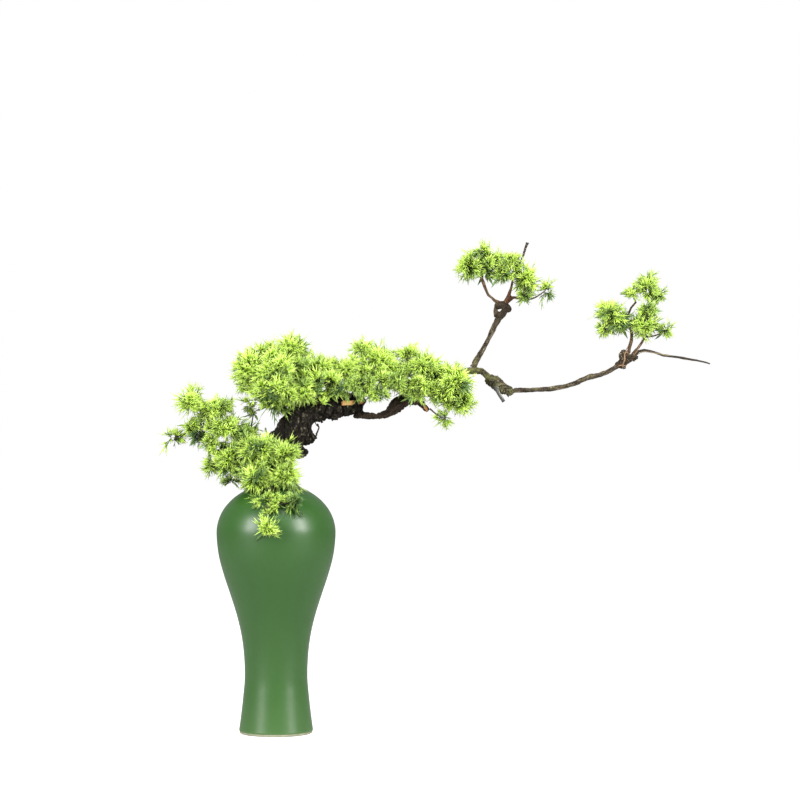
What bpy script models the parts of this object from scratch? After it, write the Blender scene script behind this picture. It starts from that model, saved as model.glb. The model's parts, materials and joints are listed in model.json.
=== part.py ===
"""Artificial tabletop tree: a weighted ceramic vase, a foam bung, a gnarled trunk with
spliced branches, and moulded needle sprays.

Metres, +Z up. The origin is the centre of the vase's flat underside; the long branch
reaches out along +X, and the front of the tree faces -Y.
"""
import math

import bmesh
import bpy
from mathutils import Vector

MM = 0.001

# ---- vase -------------------------------------------------------------------------
VASE_HEIGHT = 0.300
FOOT_WIDTH = 0.088
WAIST_WIDTH = 0.074
WAIST_HEIGHT = 0.065
BELLY_WIDTH = 0.140
BELLY_HEIGHT = 0.234
NECK_WIDTH = 0.044
NECK_HEIGHT = 0.010          # length of the neck below the lip's rim
LIP_WIDTH = 0.051
VASE_WALL = 0.004
VASE_FLOOR = 0.008
FOOT_CHAMFER = 0.0012
LIP_EASE = 0.3               # how much of the lip's round its middle point is drawn in
FLARE_POWER = 1.25           # how late the waist opens into the belly
FOOT_POWER = 1.25            # how fast the foot draws in to the waist
SHOULDER_POWERS = (2.2, 0.7)

# ---- what sits in the vase --------------------------------------------------------
BALLAST_DEPTH = 0.062
BUNG_LENGTH = 0.036
BUNG_RECESS = 0.002          # how far the bung's top lies below the rim
SPIKE_WIDTH = 0.016
SPIKE_BELOW_BUNG = 0.006
SPIKE_IN_TRUNK = 0.016

# ---- tree -------------------------------------------------------------------------
TREE_REACH = 0.510           # vase axis to the tip of the tail twig
TREE_RISE = 0.277            # vase rim to the tip of the bud twig
TREE_SPREAD = 1.0            # front-to-back depth of the branches and sprays
WOOD_GIRTH = 1.0             # thickness of all the wood
SPRAY_FULLNESS = 1.0         # size of the needle sprays about their own centres
HOLLOW_DEPTH = 0.5           # the hollows between a spray's tips, as a share of its reach
LONGEST_STEM = 0.045
STEM_ROOM = 0.001            # round a spray's stem on its way to the wood
STEM_STEPS = 12              # places along a stem that are tested for room
MEETING_TRIES = 20           # rounds that bring a meeting place inside the trims

REACH_DRAWN = 510.0          # the reach and the rise that the routes below are drawn at
RISE_DRAWN = 277.0

# ---- clearances -------------------------------------------------------------------
GAP = 0.0003                 # between pieces that touch
SWING_GAP = 0.0013           # round a twig that bends at its splice
SPRAY_GAP = 0.0006           # between neighbouring sprays
SPRAY_SWING_GAP = 0.0040     # between sprays that bend apart

# ---- mesh fineness ----------------------------------------------------------------
VASE_SIDES = 32
TRUNK_SIDES = 12
BRANCH_SIDES = 8
TWIG_SIDES = 6

# ---- moving bodies: the body that carries each, and its pivot in tree millimetres --
PIVOTS = {
    "bung": ("vase", (0, 0, 0)),
    "trunk": ("bung", (0, 0, 0)),
    "left_arm": ("trunk", (-40, -6, 48)),
    "droop": ("trunk", (0.5, -65.6, -34.7)),
    "upper_branch": ("trunk", (233, 8, 130)),
    "top_left": ("upper_branch", (262, 10, 205)),
    "top_right": ("upper_branch", (274, 10, 207)),
    "long_branch": ("trunk", (281, 6, 103)),
    "tip_left": ("long_branch", (415, 0, 151)),
    "tip_right": ("long_branch", (424, 1, 149)),
}

# ---- wood: (x, y, height above the vase's rim, radius), all in millimetres ---------
TRUNK = [(0, 0, 0.5, 14), (0.5, 0, 8, 14.5), (7, 0, 27, 17), (15, 0, 46, 20),
         (27, 0, 67, 20.5), (48, 0, 84, 19.5), (75, 0, 86, 17.5), (104, 0, 84.5, 10)]
TRUNK_LUMPS = {
    "burl_right": [(28, 0, 45, 9), (38, -1, 46, 8), (47, -2, 49, 3)],
    "burl_low": [(16, -6, 29, 10), (28, -8, 31, 9), (38, -8, 28, 4)],
    "shard_left": [(8, 0, 52, 9), (-2, -1, 50, 6), (-10, -1, 45.5, 1.5)],
    "lump_under": [(66, 0, 76, 8), (70, 0, 67, 5)],
    "sawn_stub": [(86, -6, 87, 7), (86, -18.5, 88, 6)],
}
TENDRIL = [(44, -2, 46, 1.2), (48.5, -2, 53.5, 1), (50.5, -2, 59, 0.9),
           (48.5, -2, 64, 0.9), (45, -1, 70, 1)]
BOUGH = [(92, 0, 76, 5.5), (104, 1, 72.5, 4.2), (118, 2, 72, 4), (130, 3, 75, 6),
         (141, 4, 84, 9), (152, 6, 92, 8), (167, 8, 99, 6), (186, 9, 107, 5.5),
         (205, 9, 116, 5), (214, 9, 121, 4.8)]
BOUGH_LUMPS = {
    "bough_tip": [(146, 3, 89, 7), (158, 2, 91.5, 6), (169, 1, 89, 5), (179, 0, 79, 3)],
}
FORK_LIMB = [(215, 9, 121.5, 4.8), (224, 9, 125.5, 4.6), (233, 8, 126.5, 5),
             (242, 8, 125.5, 4.4), (249, 8, 119.5, 4.2), (254, 8, 114, 5)]
BINDING_KNOT = [(250.5, 8, 118, 5.5), (256, 8, 113.5, 8.4), (262, 7, 109.5, 8),
                (267, 7, 105.5, 7.4), (273, 6, 102.5, 5.6), (278.5, 6, 103, 4)]
BINDING_LUMPS = {
    "knot_stub": [(270, 6, 103, 4), (275.5, 6, 97, 3.2)],
}
CUT_PEG = [(257, 0, 108, 2.4), (262.5, -1, 98, 2.1), (268, -1, 89.5, 2.1)]
LONG_BRANCH = [(281, 6, 103, 3), (290, 6, 103, 2.9), (310, 4, 103.5, 2.6),
               (327, 2, 105, 2.9), (341, 0, 107.5, 2.6), (351, -1, 111, 3),
               (360, -2, 115, 3.1), (369, -2, 118.5, 3.2), (380, -2, 120.5, 2.8),
               (390, -1, 124.5, 2.7), (399, 0, 130, 2.8), (405, 0, 134, 3.2)]
TIP_KNOT = [(402, 0, 132.5, 3.4), (408, 0, 136, 5.4), (413, 0, 138, 4.6),
            (419, 1, 141, 3.8), (426, 1, 141.5, 2.2)]
TIP_LUMPS = {
    "knot_horn": [(408, 0, 137, 4), (407.5, 0, 145, 4.4), (410.5, 0, 150.5, 2)],
    "knot_foot": [(408, 0, 135, 3.4), (408.5, 0, 128.5, 2.6)],
    "knot_nub": [(413, 0, 138, 3.6), (415, 0, 145, 3)],
    "knot_elbow": [(419, 1, 140, 3.4), (422.5, 1, 145.5, 2.8)],
}
TAIL_TWIG = [(422.5, 1, 145, 1.8), (427, 1, 149, 1.7), (433, 1, 150.4, 1.5),
             (441, 0, 149, 1.4), (448, -1, 146.5, 1.3), (455, -2, 144, 1.2),
             (463, -2, 143, 1.2), (472, -3, 142, 1.2), (482, -3, 140.5, 1.1),
             (492, -4, 138.5, 1.1), (502, -4, 136.5, 1), (510, -5, 134, 0.8)]
UPPER_BRANCH = [(229, 8, 127, 4), (233, 8, 132, 3.6), (239, 8.5, 143, 3.1),
                (246, 9, 156, 2.8), (252, 9.5, 167, 2.9), (257, 10, 178, 3.2),
                (261, 10, 186, 4.2), (263, 10, 190, 4.4)]
CROWN_KNOT = [(262, 10, 189.5, 5.2), (267.5, 10, 193.5, 4.2), (271, 10, 199.5, 4.2),
              (269, 10, 205, 4.4), (263.5, 10, 205, 3.2), (259.5, 10, 201, 2.2)]
CROWN_LUMPS = {
    "crown_horn": [(261, 10, 191, 4.2), (258.5, 10, 197, 2.4)],
}
TWIG_TOP_LEFT = [(262, 10, 206, 1.7), (256.5, 9, 210, 1.7), (250, 8, 215.5, 1.9),
                 (246, 7, 224, 1.6), (242.5, 6, 233, 1.8), (240, 5, 242, 1.2)]
TWIG_TOP_MID = [(269, 10, 206, 2.4), (274, 10, 214, 2.5), (277, 9, 223, 1.7),
                (279, 8, 234, 1.3)]
TWIG_TOP_RIGHT = [(272, 10, 206, 1.8), (279.5, 10, 212.5, 1.8), (287, 9, 212, 1.5),
                  (294, 8, 208, 1.2)]
BUD_TWIG = [(279, 8, 235, 1.1), (284, 8, 245, 1), (288.5, 7, 256, 0.9),
            (291, 7, 262, 0.9), (293.5, 7, 270, 1), (296, 7, 277, 1.6)]
TWIG_TIP_LEFT = [(415, 0, 147, 1.9), (416, 0, 153, 1.7), (418.5, 0, 161, 1.5),
                 (419, 2, 170, 1.4), (415, 5, 180, 1.2), (414, 6, 190, 1.1),
                 (418, 5, 200, 1.1), (424, 3, 207, 1)]
TWIG_TIP_RIGHT = [(423, 1, 147, 1.7), (425.5, 1, 152, 1.5), (430, 0, 158.5, 1.3),
                  (434, -2, 166, 1.1)]
LEFT_STEM = [(8, -8, 34, 2.6), (-10, -14, 38, 2.4), (-28, -10, 43.5, 2.2),
             (-38, -6, 47.5, 2)]
LEFT_ARM_STEM = [(-40, -5, 48.5, 1.9), (-55, 2, 57, 1.7), (-72, 5, 67, 1.5),
                 (-88, 3, 76, 1.2)]

# ---- sprays: centre (x, y, height above the rim) and half sizes, in millimetres ----
SPRAYS = {
    "left_arm": {
        "spray_arm_tip": ((-101, -3, 89), (15, 18, 18)),
        "spray_arm_mid": ((-66, -13, 67), (25, 19, 22)),
        "spray_arm_wisp": ((-116, 0, 50), (20, 14, 14)),
    },
    "trunk": {
        "spray_collar_left": ((-47, -3, 31), (22, 24, 26)),
        "spray_left_wisp": ((-79, 4, 17), (17, 14, 14)),
        "spray_left_low": ((-51, 4, -5), (17, 19, 9)),
        "spray_front_left": ((-20, -34, 17), (24, 19, 33)),
        "spray_front_right": ((13, -36, 14), (19, 17, 31)),
        "spray_neck_front": ((4, -58, -23), (31, 12, 13)),
        "spray_back_low": ((-12, 34, 16), (28, 19, 24)),
        "spray_crown_left": ((-30, 0, 130), (21, 32, 26)),
        "spray_crown_top_left": ((-16, 4, 153), (21, 27, 13)),
        "spray_crown_top": ((20, 0, 154), (21, 27, 15)),
        "spray_crown_mid": ((4, -18, 117), (26, 22, 22)),
        "spray_crown_back": ((10, 24, 120), (31, 21, 27)),
        "spray_crown_low": ((-2, -8, 90), (24, 26, 14)),
        "spray_crown_right": ((48, -3, 123), (27, 28, 18)),
        "spray_loose": ((-30, 8, 85), (9, 9, 14)),
        "spray_bough_left": ((87, -2, 126), (21, 30, 15)),
        "spray_bough_peak": ((102, 4, 149), (18, 22, 13)),
        "spray_bough_top": ((124, 0, 137), (21, 30, 17)),
        "spray_bough_front": ((108, -20, 104), (31, 17, 15)),
        "spray_bough_mid": ((154, -13, 109), (26, 20, 14)),
        "spray_bough_peak_right": ((156, 4, 145), (14, 20, 12)),
        "spray_bough_right": ((176, 0, 128), (22, 28, 15)),
        "spray_end": ((211, -6, 113), (20, 24, 17)),
        "spray_end_low": ((217, -2, 88), (22, 22, 15)),
        "spray_end_droop": ((197, -4, 68), (13, 17, 13)),
    },
    "droop": {
        "spray_droop": ((-7, -82, -60), (13, 8, 20)),
    },
    "upper_branch": {
        "spray_top_mid": ((266, 8, 252), (24, 21, 15)),
    },
    "top_left": {
        "spray_top_left": ((227, 4, 248), (18, 19, 14)),
        "spray_top_peak": ((242, 6, 266), (14, 17, 13)),
    },
    "top_right": {
        "spray_top_right": ((297, 8, 229), (15, 18, 21)),
        "spray_top_far": ((317, 6, 219), (13, 13, 13)),
    },
    "tip_left": {
        "spray_tip_left": ((394, 1, 190), (22, 21, 20)),
        "spray_tip_peak": ((433, 2, 223), (20, 17, 18)),
    },
    "tip_right": {
        "spray_tip_right": ((437, -2, 182), (24, 20, 20)),
    },
}


# ---- places -----------------------------------------------------------------------
def tree_point(x, y, height):
    """World place of a point drawn in tree millimetres."""
    return Vector((x * TREE_REACH / REACH_DRAWN,
                   y * MM * TREE_SPREAD,
                   VASE_HEIGHT + height * TREE_RISE / RISE_DRAWN))


def pivot_of(body):
    """World place of a body's joint; the vase's own is the origin."""
    if body not in PIVOTS:
        return Vector((0, 0, 0))
    return tree_point(*PIVOTS[body][1])


def smooth_route(drawn, steps):
    """World centres and radii along a smooth curve through a drawn route."""
    places = [tree_point(x, y, z) for x, y, z, _ in drawn]
    radii = [r * MM * WOOD_GIRTH for _, _, _, r in drawn]
    route = []
    last = len(drawn) - 1
    for i in range(last):
        before = places[max(i - 1, 0)]
        after = places[min(i + 2, last)]
        for step in range(steps):
            t = step / steps
            route.append((catmull_rom(before, places[i], places[i + 1], after, t),
                          radii[i] + (radii[i + 1] - radii[i]) * t))
    route.append((places[last], radii[last]))
    return route


def catmull_rom(a, b, c, d, t):
    """The point at t of the smooth span from b to c."""
    return 0.5 * (2 * b + (c - a) * t + (2 * a - 5 * b + 4 * c - d) * t ** 2
                  + (3 * b - a - 3 * c + d) * t ** 3)


# ---- vase outline -----------------------------------------------------------------
def shoulder_top():
    """Height at which the shoulder meets the neck."""
    return VASE_HEIGHT - NECK_HEIGHT


def vase_radius(z):
    """Outer radius of the vase at a height below the neck."""
    if z <= WAIST_HEIGHT:
        draw_in = (1 - z / WAIST_HEIGHT) ** FOOT_POWER
        return (WAIST_WIDTH + (FOOT_WIDTH - WAIST_WIDTH) * draw_in) / 2
    if z <= BELLY_HEIGHT:
        share = ((z - WAIST_HEIGHT) / (BELLY_HEIGHT - WAIST_HEIGHT)) ** FLARE_POWER
        opening = (1 - math.cos(math.pi * share)) / 2
        return (WAIST_WIDTH + (BELLY_WIDTH - WAIST_WIDTH) * opening) / 2
    share = (z - BELLY_HEIGHT) / (shoulder_top() - BELLY_HEIGHT)
    closing = (1 - share ** SHOULDER_POWERS[0]) ** SHOULDER_POWERS[1]
    return (NECK_WIDTH + (BELLY_WIDTH - NECK_WIDTH) * closing) / 2


def vase_wall_heights():
    """Heights of the outline's points, from the foot up to the neck."""
    foot = [VASE_FLOOR + (WAIST_HEIGHT - VASE_FLOOR) * i / 3 for i in range(3)]
    flare = [WAIST_HEIGHT + (BELLY_HEIGHT - WAIST_HEIGHT) * i / 7 for i in range(7)]
    rise = shoulder_top() - BELLY_HEIGHT
    shoulder = [BELLY_HEIGHT + rise * math.sin(math.pi / 2 * i / 6) for i in range(7)]
    return foot + flare + shoulder


def outer_outline():
    """The vase's outside from the floor's height to the neck, as (radius, z)."""
    return [(vase_radius(z), z) for z in vase_wall_heights()]


def inner_outline():
    """The outside moved inwards by the wall, from the neck down to the floor."""
    outer = outer_outline()
    inner = []
    for i, (radius, z) in enumerate(outer):
        r0, z0 = outer[max(i - 1, 0)]
        r1, z1 = outer[min(i + 1, len(outer) - 1)]
        along = Vector((r1 - r0, z1 - z0)).normalized()
        inner.append((radius - along.y * VASE_WALL, z + along.x * VASE_WALL))
    inner[0] = (inner[0][0], VASE_FLOOR)
    inner[-1] = (NECK_WIDTH / 2 - VASE_WALL, inner[-1][1])
    return inner


def inner_neck_radius():
    """Radius of the neck's bore."""
    return NECK_WIDTH / 2 - VASE_WALL


# ---- materials --------------------------------------------------------------------
def principled(name, colour, roughness, metallic=0.0):
    """A plain Principled material."""
    material = bpy.data.materials.new(name)
    material.use_nodes = True
    shader = material.node_tree.nodes["Principled BSDF"]
    shader.inputs["Base Color"].default_value = (*colour, 1.0)
    shader.inputs["Roughness"].default_value = roughness
    shader.inputs["Metallic"].default_value = metallic
    return material


FINISHES = {
    "glaze": ((0.082, 0.178, 0.052), 0.35),
    "plaster": ((0.62, 0.60, 0.55), 0.9),
    "foam": ((0.10, 0.19, 0.07), 0.95),
    "spike": ((0.42, 0.28, 0.15), 0.7),
    "bark": ((0.028, 0.022, 0.016), 0.85),
    "branch": ((0.110, 0.090, 0.055), 0.75),
    "twig": ((0.130, 0.075, 0.042), 0.7),
    "needles": ((0.300, 0.520, 0.060), 0.5),
}


def finish_piece(obj, finish):
    """Gives a piece its own material in the named finish."""
    colour, roughness = FINISHES[finish]
    obj.data.materials.append(principled(obj.name + "_finish", colour, roughness))


# ---- making pieces ----------------------------------------------------------------
joints = {}


def joint_empty(body):
    """The empty that carries a body, on its joint's axis."""
    if body not in joints:
        empty = bpy.data.objects.new("joint_" + body, None)
        bpy.context.collection.objects.link(empty)
        joints[body] = empty
        if body in PIVOTS:
            parent = PIVOTS[body][0]
            empty.parent = joint_empty(parent)
            empty.location = pivot_of(body) - pivot_of(parent)
    return joints[body]


def add_piece(name, bm, place, body, finish):
    """Links a bmesh as a named piece of a body, with its own origin at place."""
    mesh = bpy.data.meshes.new(name)
    bm.to_mesh(mesh)
    bm.free()
    obj = bpy.data.objects.new(name, mesh)
    bpy.context.collection.objects.link(obj)
    obj.parent = joint_empty(body)
    obj.location = place - pivot_of(body)
    finish_piece(obj, finish)
    mesh.shade_smooth()
    mesh.set_sharp_from_angle(angle=math.radians(40))
    return obj


def add_guide(name, bm, place):
    """A hidden shape that trims or swells other pieces."""
    mesh = bpy.data.meshes.new(name)
    bm.to_mesh(mesh)
    bm.free()
    obj = bpy.data.objects.new(name, mesh)
    bpy.context.collection.objects.link(obj)
    obj.location = place
    obj.hide_render = True
    obj.display_type = 'WIRE'
    return obj


def boolean(obj, guide, operation):
    """Trims obj by a guide, or joins the guide's shape to it."""
    modifier = obj.modifiers.new(operation.lower() + "_" + guide.name, 'BOOLEAN')
    modifier.operation = operation
    modifier.object = guide


def turned(outline, sides):
    """A body of revolution about Z through an outline of (radius, z) points."""
    bm = bmesh.new()
    rings = []
    for radius, z in outline:
        if radius == 0:
            rings.append([bm.verts.new((0, 0, z))])
            continue
        turns = [2 * math.pi * i / sides for i in range(sides)]
        rings.append([bm.verts.new((radius * math.cos(a), radius * math.sin(a), z))
                      for a in turns])
    pairs = list(zip(rings, rings[1:]))
    if outline[0][0] != 0:
        pairs.append((rings[-1], rings[0]))
    for low, high in pairs:
        for i in range(sides):
            j = (i + 1) % sides
            corners = [low[i % len(low)], low[j % len(low)],
                       high[j % len(high)], high[i % len(high)]]
            bm.faces.new(list(dict.fromkeys(corners)))
    bmesh.ops.recalc_face_normals(bm, faces=bm.faces[:])
    return bm


def tube(route, sides, swell=0.0):
    """A closed tube about a route, as a bmesh whose origin is the route's start."""
    bm = bmesh.new()
    start = route[0][0]
    last = len(route) - 1
    heading = (route[1][0] - start).normalized()
    side = heading.orthogonal().normalized()
    rings = []
    for i, (centre, radius) in enumerate(route):
        ahead = route[min(i + 1, last)][0] - route[max(i - 1, 0)][0]
        turn = heading.rotation_difference(ahead.normalized())
        heading = ahead.normalized()
        side = (turn @ side).normalized()
        other = heading.cross(side)
        middle = centre - start
        if i in (0, last):
            middle += heading * (swell if i else -swell)
        ring = []
        for k in range(sides):
            angle = 2 * math.pi * k / sides
            ring.append(bm.verts.new(middle + (side * math.cos(angle)
                                               + other * math.sin(angle))
                                     * (radius + swell)))
        rings.append(ring)
    for low, high in zip(rings, rings[1:]):
        for k in range(sides):
            j = (k + 1) % sides
            bm.faces.new((low[k], low[j], high[j], high[k]))
    bm.faces.new(rings[0])
    bm.faces.new(rings[-1])
    bmesh.ops.recalc_face_normals(bm, faces=bm.faces[:])
    return bm


class Wood:
    """Every wooden piece made so far, with the shapes that keep others clear of it."""

    def __init__(self):
        self.shapes = {}
        self.bodies = {}

    def spans(self):
        """Every straight length of wood as (start, radius, end, radius, body)."""
        for name, shapes in self.shapes.items():
            for route, _ in shapes:
                for (a, ra), (b, rb) in zip(route, route[1:]):
                    yield a, ra, b, rb, self.bodies[name]

    def guides(self, name, swell):
        """Swollen copies of a piece, to trim another by."""
        made = []
        for part, (route, sides) in enumerate(self.shapes[name]):
            label = "clear_{}_{}_{}".format(name, part, round(swell / MM * 10))
            if label not in bpy.data.objects:
                add_guide(label, tube(route, sides, swell), route[0][0])
            made.append(bpy.data.objects[label])
        return made

    def add(self, name, drawn, body, finish, steps=1, sides=BRANCH_SIDES, lumps=None,
            butts=()):
        """A branch along a drawn route, with lumps joined on and the pieces that it
        butts against trimmed away from it.

        butts holds the names of earlier pieces; one on another body leaves it room to
        bend.
        """
        route = smooth_route(drawn, steps)
        obj = add_piece(name, tube(route, sides), route[0][0], body, finish)
        shapes = [(route, sides)]
        for label, lump in (lumps or {}).items():
            lump_route = smooth_route(lump, 1)
            guide = add_guide("add_" + label, tube(lump_route, BRANCH_SIDES),
                              lump_route[0][0])
            boolean(obj, guide, 'UNION')
            shapes.append((lump_route, BRANCH_SIDES))
        self.shapes[name] = shapes
        self.bodies[name] = body
        for other in butts:
            swell = GAP if self.bodies[other] == body else SWING_GAP
            for guide in self.guides(other, swell):
                boolean(obj, guide, 'DIFFERENCE')
        return obj


# ---- sprays -----------------------------------------------------------------------
def reach_along(half, direction):
    """How far an ellipsoid with these half sizes reaches along a direction."""
    return math.sqrt(sum((half[i] * direction[i]) ** 2 for i in range(3)))


def trims_for_sprays(centre, half, body, sprays, name):
    """Half-spaces, as (direction, distance), that part a spray from its neighbours."""
    trims = []
    for other, (other_centre, other_half, other_body) in sprays.items():
        if other == name:
            continue
        apart = other_centre - centre
        distance = apart.length
        direction = apart / distance
        mine = reach_along(half, direction)
        theirs = reach_along(other_half, direction)
        gap = SPRAY_GAP if other_body == body else SPRAY_SWING_GAP
        if mine + theirs + gap > distance:
            trims.append((direction, distance * mine / (mine + theirs) - gap / 2))
    return trims


def nearest_on(a, b, point):
    """The point of the stretch from a to b that is nearest to a point, and how far along
    the stretch it lies, from 0 to 1."""
    along = b - a
    share = min(max((point - a).dot(along) / along.length_squared, 0), 1)
    return a + along * share, share


def trims_for_wood(centre, half, body, wood):
    """Half-spaces that keep a spray off every length of wood."""
    trims = []
    for a, ra, b, rb, wood_body in wood.spans():
        gap = SPRAY_GAP if wood_body == body else SPRAY_SWING_GAP
        towards = nearest_on(a, b, centre)[0] - centre
        room = towards.length - max(ra, rb) - gap
        direction = towards.normalized()
        if room < reach_along(half, direction):
            trims.append((direction, room))
    return trims


def trims_for_vase(centre, half):
    """Half-spaces that keep a spray off the vase's shoulder and its lip."""
    flat = Vector((Vector((centre.x, centre.y)).length, centre.z))
    outwards = Vector((centre.x, centre.y, 0)).normalized()
    wall = [Vector(point) for point in outer_outline()]
    shoulder = min((nearest_on(a, b, flat)[0] for a, b in zip(wall, wall[1:])),
                   key=lambda point: (point - flat).length)
    lip = nearest_on(Vector((LIP_WIDTH / 2, shoulder_top())),
                     Vector((LIP_WIDTH / 2, VASE_HEIGHT)), flat)[0]
    trims = []
    for touch in (shoulder, lip):
        towards = outwards * touch.x + Vector((0, 0, touch.y)) - centre
        room = towards.length - SPRAY_GAP
        direction = towards.normalized()
        if room < reach_along(half, direction):
            trims.append((direction, room))
    return trims


def outside_vase(point):
    """Whether a point lies clear of the vase."""
    radius = Vector((point.x, point.y)).length
    if point.z > VASE_HEIGHT + STEM_ROOM:
        return True
    if point.z > shoulder_top():
        return radius > LIP_WIDTH / 2 + STEM_ROOM
    return radius > vase_radius(point.z) + STEM_ROOM


def stem_for_spray(name, sprays, trims, wood):
    """The vector from a spray's centre to the nearest wood of its own body that a
    straight stem can reach past the sprays, the wood and the vase, or None."""
    centre, _, body = sprays[name]
    stems = []
    for a, ra, b, rb, wood_body in wood.spans():
        touch, share = nearest_on(a, b, centre)
        towards = touch - centre
        reach = towards.length - (ra + (rb - ra) * share) - SPRAY_GAP
        if wood_body == body and 0 < reach < LONGEST_STEM:
            stems.append((reach, towards.normalized()))
    for reach, direction in sorted(stems, key=lambda stem: stem[0]):
        steps = [centre + direction * reach * (i + 1) / STEM_STEPS
                 for i in range(STEM_STEPS)]
        if all(is_free(point, name, sprays, trims, wood) for point in steps):
            return direction * reach
    return None


def is_free(point, name, sprays, trims, wood):
    """Whether a point of a spray's stem is clear of every other spray, the wood and the
    vase."""
    for other, (centre, half, _) in sprays.items():
        away = point - centre
        inside = sum((away[i] / (half[i] + STEM_ROOM)) ** 2 for i in range(3))
        if other != name and inside < 1 and beyond(away, trims[other]) < STEM_ROOM:
            return False
    for a, ra, b, rb, _ in wood.spans():
        touch, share = nearest_on(a, b, point)
        if (touch - point).length < ra + (rb - ra) * share + GAP:
            return False
    return outside_vase(point)


def beyond(vector, trims):
    """How far a place, as a vector from a spray's centre, lies past any of its trims."""
    return max((vector.dot(direction) - room for direction, room in trims), default=-1)


def meeting(name, other, sprays, trims):
    """The vectors from two sprays' centres to where they all but touch each other, inside
    the trims of both, or None."""
    ends = (name, other)
    centres = [sprays[end][0] for end in ends]
    direction = (centres[1] - centres[0]).normalized()
    mine, theirs = (reach_along(sprays[end][1], direction) for end in ends)
    place = centres[0] + (centres[1] - centres[0]) * mine / (mine + theirs)
    for _ in range(MEETING_TRIES):
        for end, centre in zip(ends, centres):
            for normal, room in trims[end]:
                over = (place - centre).dot(normal) - room
                place -= normal * max(over, 0)
    links = [place - centres[0] - direction * SPRAY_GAP / 2,
             place - centres[1] + direction * SPRAY_GAP / 2]
    if any(beyond(link, trims[end]) > SPRAY_GAP for link, end in zip(links, ends)):
        return None
    return links


def links_for_sprays(sprays, trims, wood):
    """What each spray is drawn out to, as vectors from its centre, by name.

    A spray reaches the wood of its own body, or the pivot of a body that has no wood, or
    else a neighbour that is held itself, which reaches back to it.
    """
    wooded = set(wood.bodies.values())
    links = {name: [] for name in sprays}
    held = set()
    for name, (centre, _, body) in sprays.items():
        stem = stem_for_spray(name, sprays, trims, wood)
        if stem:
            links[name].insert(0, stem)
            held.add(name)
        if body not in wooded:
            pivot = pivot_of(body)
            parent = [other for other in sprays if sprays[other][2] == PIVOTS[body][0]]
            holder = min(parent, key=lambda other: (sprays[other][0] - pivot).length)
            links[name].append(shortened(pivot - centre))
            links[holder].append(shortened(pivot - sprays[holder][0]))
            held.add(name)
    while True:
        pairs = []
        for name in (name for name in sprays if name not in held):
            for other in (other for other in sprays if other in held):
                met = meeting(name, other, sprays, trims)
                if met and sprays[name][2] == sprays[other][2]:
                    pairs.append((met[0].length + met[1].length, name, other, met))
        if not pairs:
            return links
        _, name, other, met = min(pairs)
        held.add(name)
        links[name].append(met[0])
        links[other].append(met[1])


def shortened(vector):
    """A vector that stops the sprays' clearance short of its end."""
    return vector * (1 - SPRAY_GAP / vector.length)


def add_spray(name, centre, half, body, trims, links):
    """A spray as a burr: its needle tips reach the full size, with hollows between.

    The corner nearest to each link is drawn out to it. Every other corner is pulled in
    along its own ray where a trim begins, so the burr stays one closed body about its
    centre.
    """
    bm = bmesh.new()
    bmesh.ops.create_icosphere(bm, subdivisions=2, radius=1.0)
    tips = [vert for vert in bm.verts if len(vert.link_edges) == 5]
    heading = links[0] if links else Vector((0, 0, -1))
    turn = tips[0].co.rotation_difference(heading)
    for vert in bm.verts:
        ray = (turn @ vert.co).normalized()
        reach = 1 / math.sqrt(sum((ray[i] / half[i]) ** 2 for i in range(3)))
        vert.co = ray * reach * (1.0 if vert in tips else HOLLOW_DEPTH)
        for direction, distance in trims:
            overlap = vert.co.dot(direction)
            if overlap > distance:
                vert.co *= distance / overlap
    free = list(bm.verts)
    for link in links:
        corner = min(free, key=lambda vert: vert.co.angle(link))
        corner.co = link
        free.remove(corner)
    add_piece(name, bm, centre, body, "needles")


# ---- the sub-assemblies -----------------------------------------------------------
def build_vase():
    """The hollow vase with its flat foot, and the plaster that weights it."""
    outer = outer_outline()
    inner = inner_outline()
    lip = LIP_WIDTH / 2
    lip_round = (lip - inner_neck_radius()) / 2
    eased = lip_round * LIP_EASE
    rim = [(lip, VASE_HEIGHT - lip_round), (lip - eased, VASE_HEIGHT - eased),
           (lip - lip_round, VASE_HEIGHT), (inner_neck_radius(), VASE_HEIGHT - lip_round)]
    foot = FOOT_WIDTH / 2
    base = [(0, 0), (foot - FOOT_CHAMFER, 0), (foot, FOOT_CHAMFER)]
    outline = base + outer + rim + inner[::-1] + [(0, VASE_FLOOR)]
    add_piece("vase_body", turned(outline, VASE_SIDES), Vector((0, 0, 0)), "vase", "glaze")

    floor = VASE_FLOOR + GAP
    top = floor + BALLAST_DEPTH
    wall = [(r - GAP, z) for r, z in inner if floor < z < top]
    above = next((r, z) for r, z in inner if z >= top)
    below = wall[-1]
    share = (top - below[1]) / (above[1] - below[1])
    top_radius = below[0] + (above[0] - GAP - below[0]) * share
    plug = [(0, floor), (inner[0][0] - GAP, floor)] + wall + [(top_radius, top), (0, top)]
    add_piece("ballast", turned(plug, VASE_SIDES), Vector((0, 0, 0)), "vase", "plaster")


def bung_top():
    """Height of the bung's upper face."""
    return VASE_HEIGHT - BUNG_RECESS


def build_bung():
    """The foam bung in the neck, bored for the trunk's spike."""
    top = bung_top()
    bottom = top - BUNG_LENGTH
    outside = inner_neck_radius() - GAP
    bore = SPIKE_WIDTH / 2 + GAP
    outline = [(bore, bottom), (outside, bottom), (outside, top), (bore, top)]
    add_piece("foam_bung", turned(outline, VASE_SIDES), Vector((0, 0, 0)), "bung", "foam")


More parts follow.
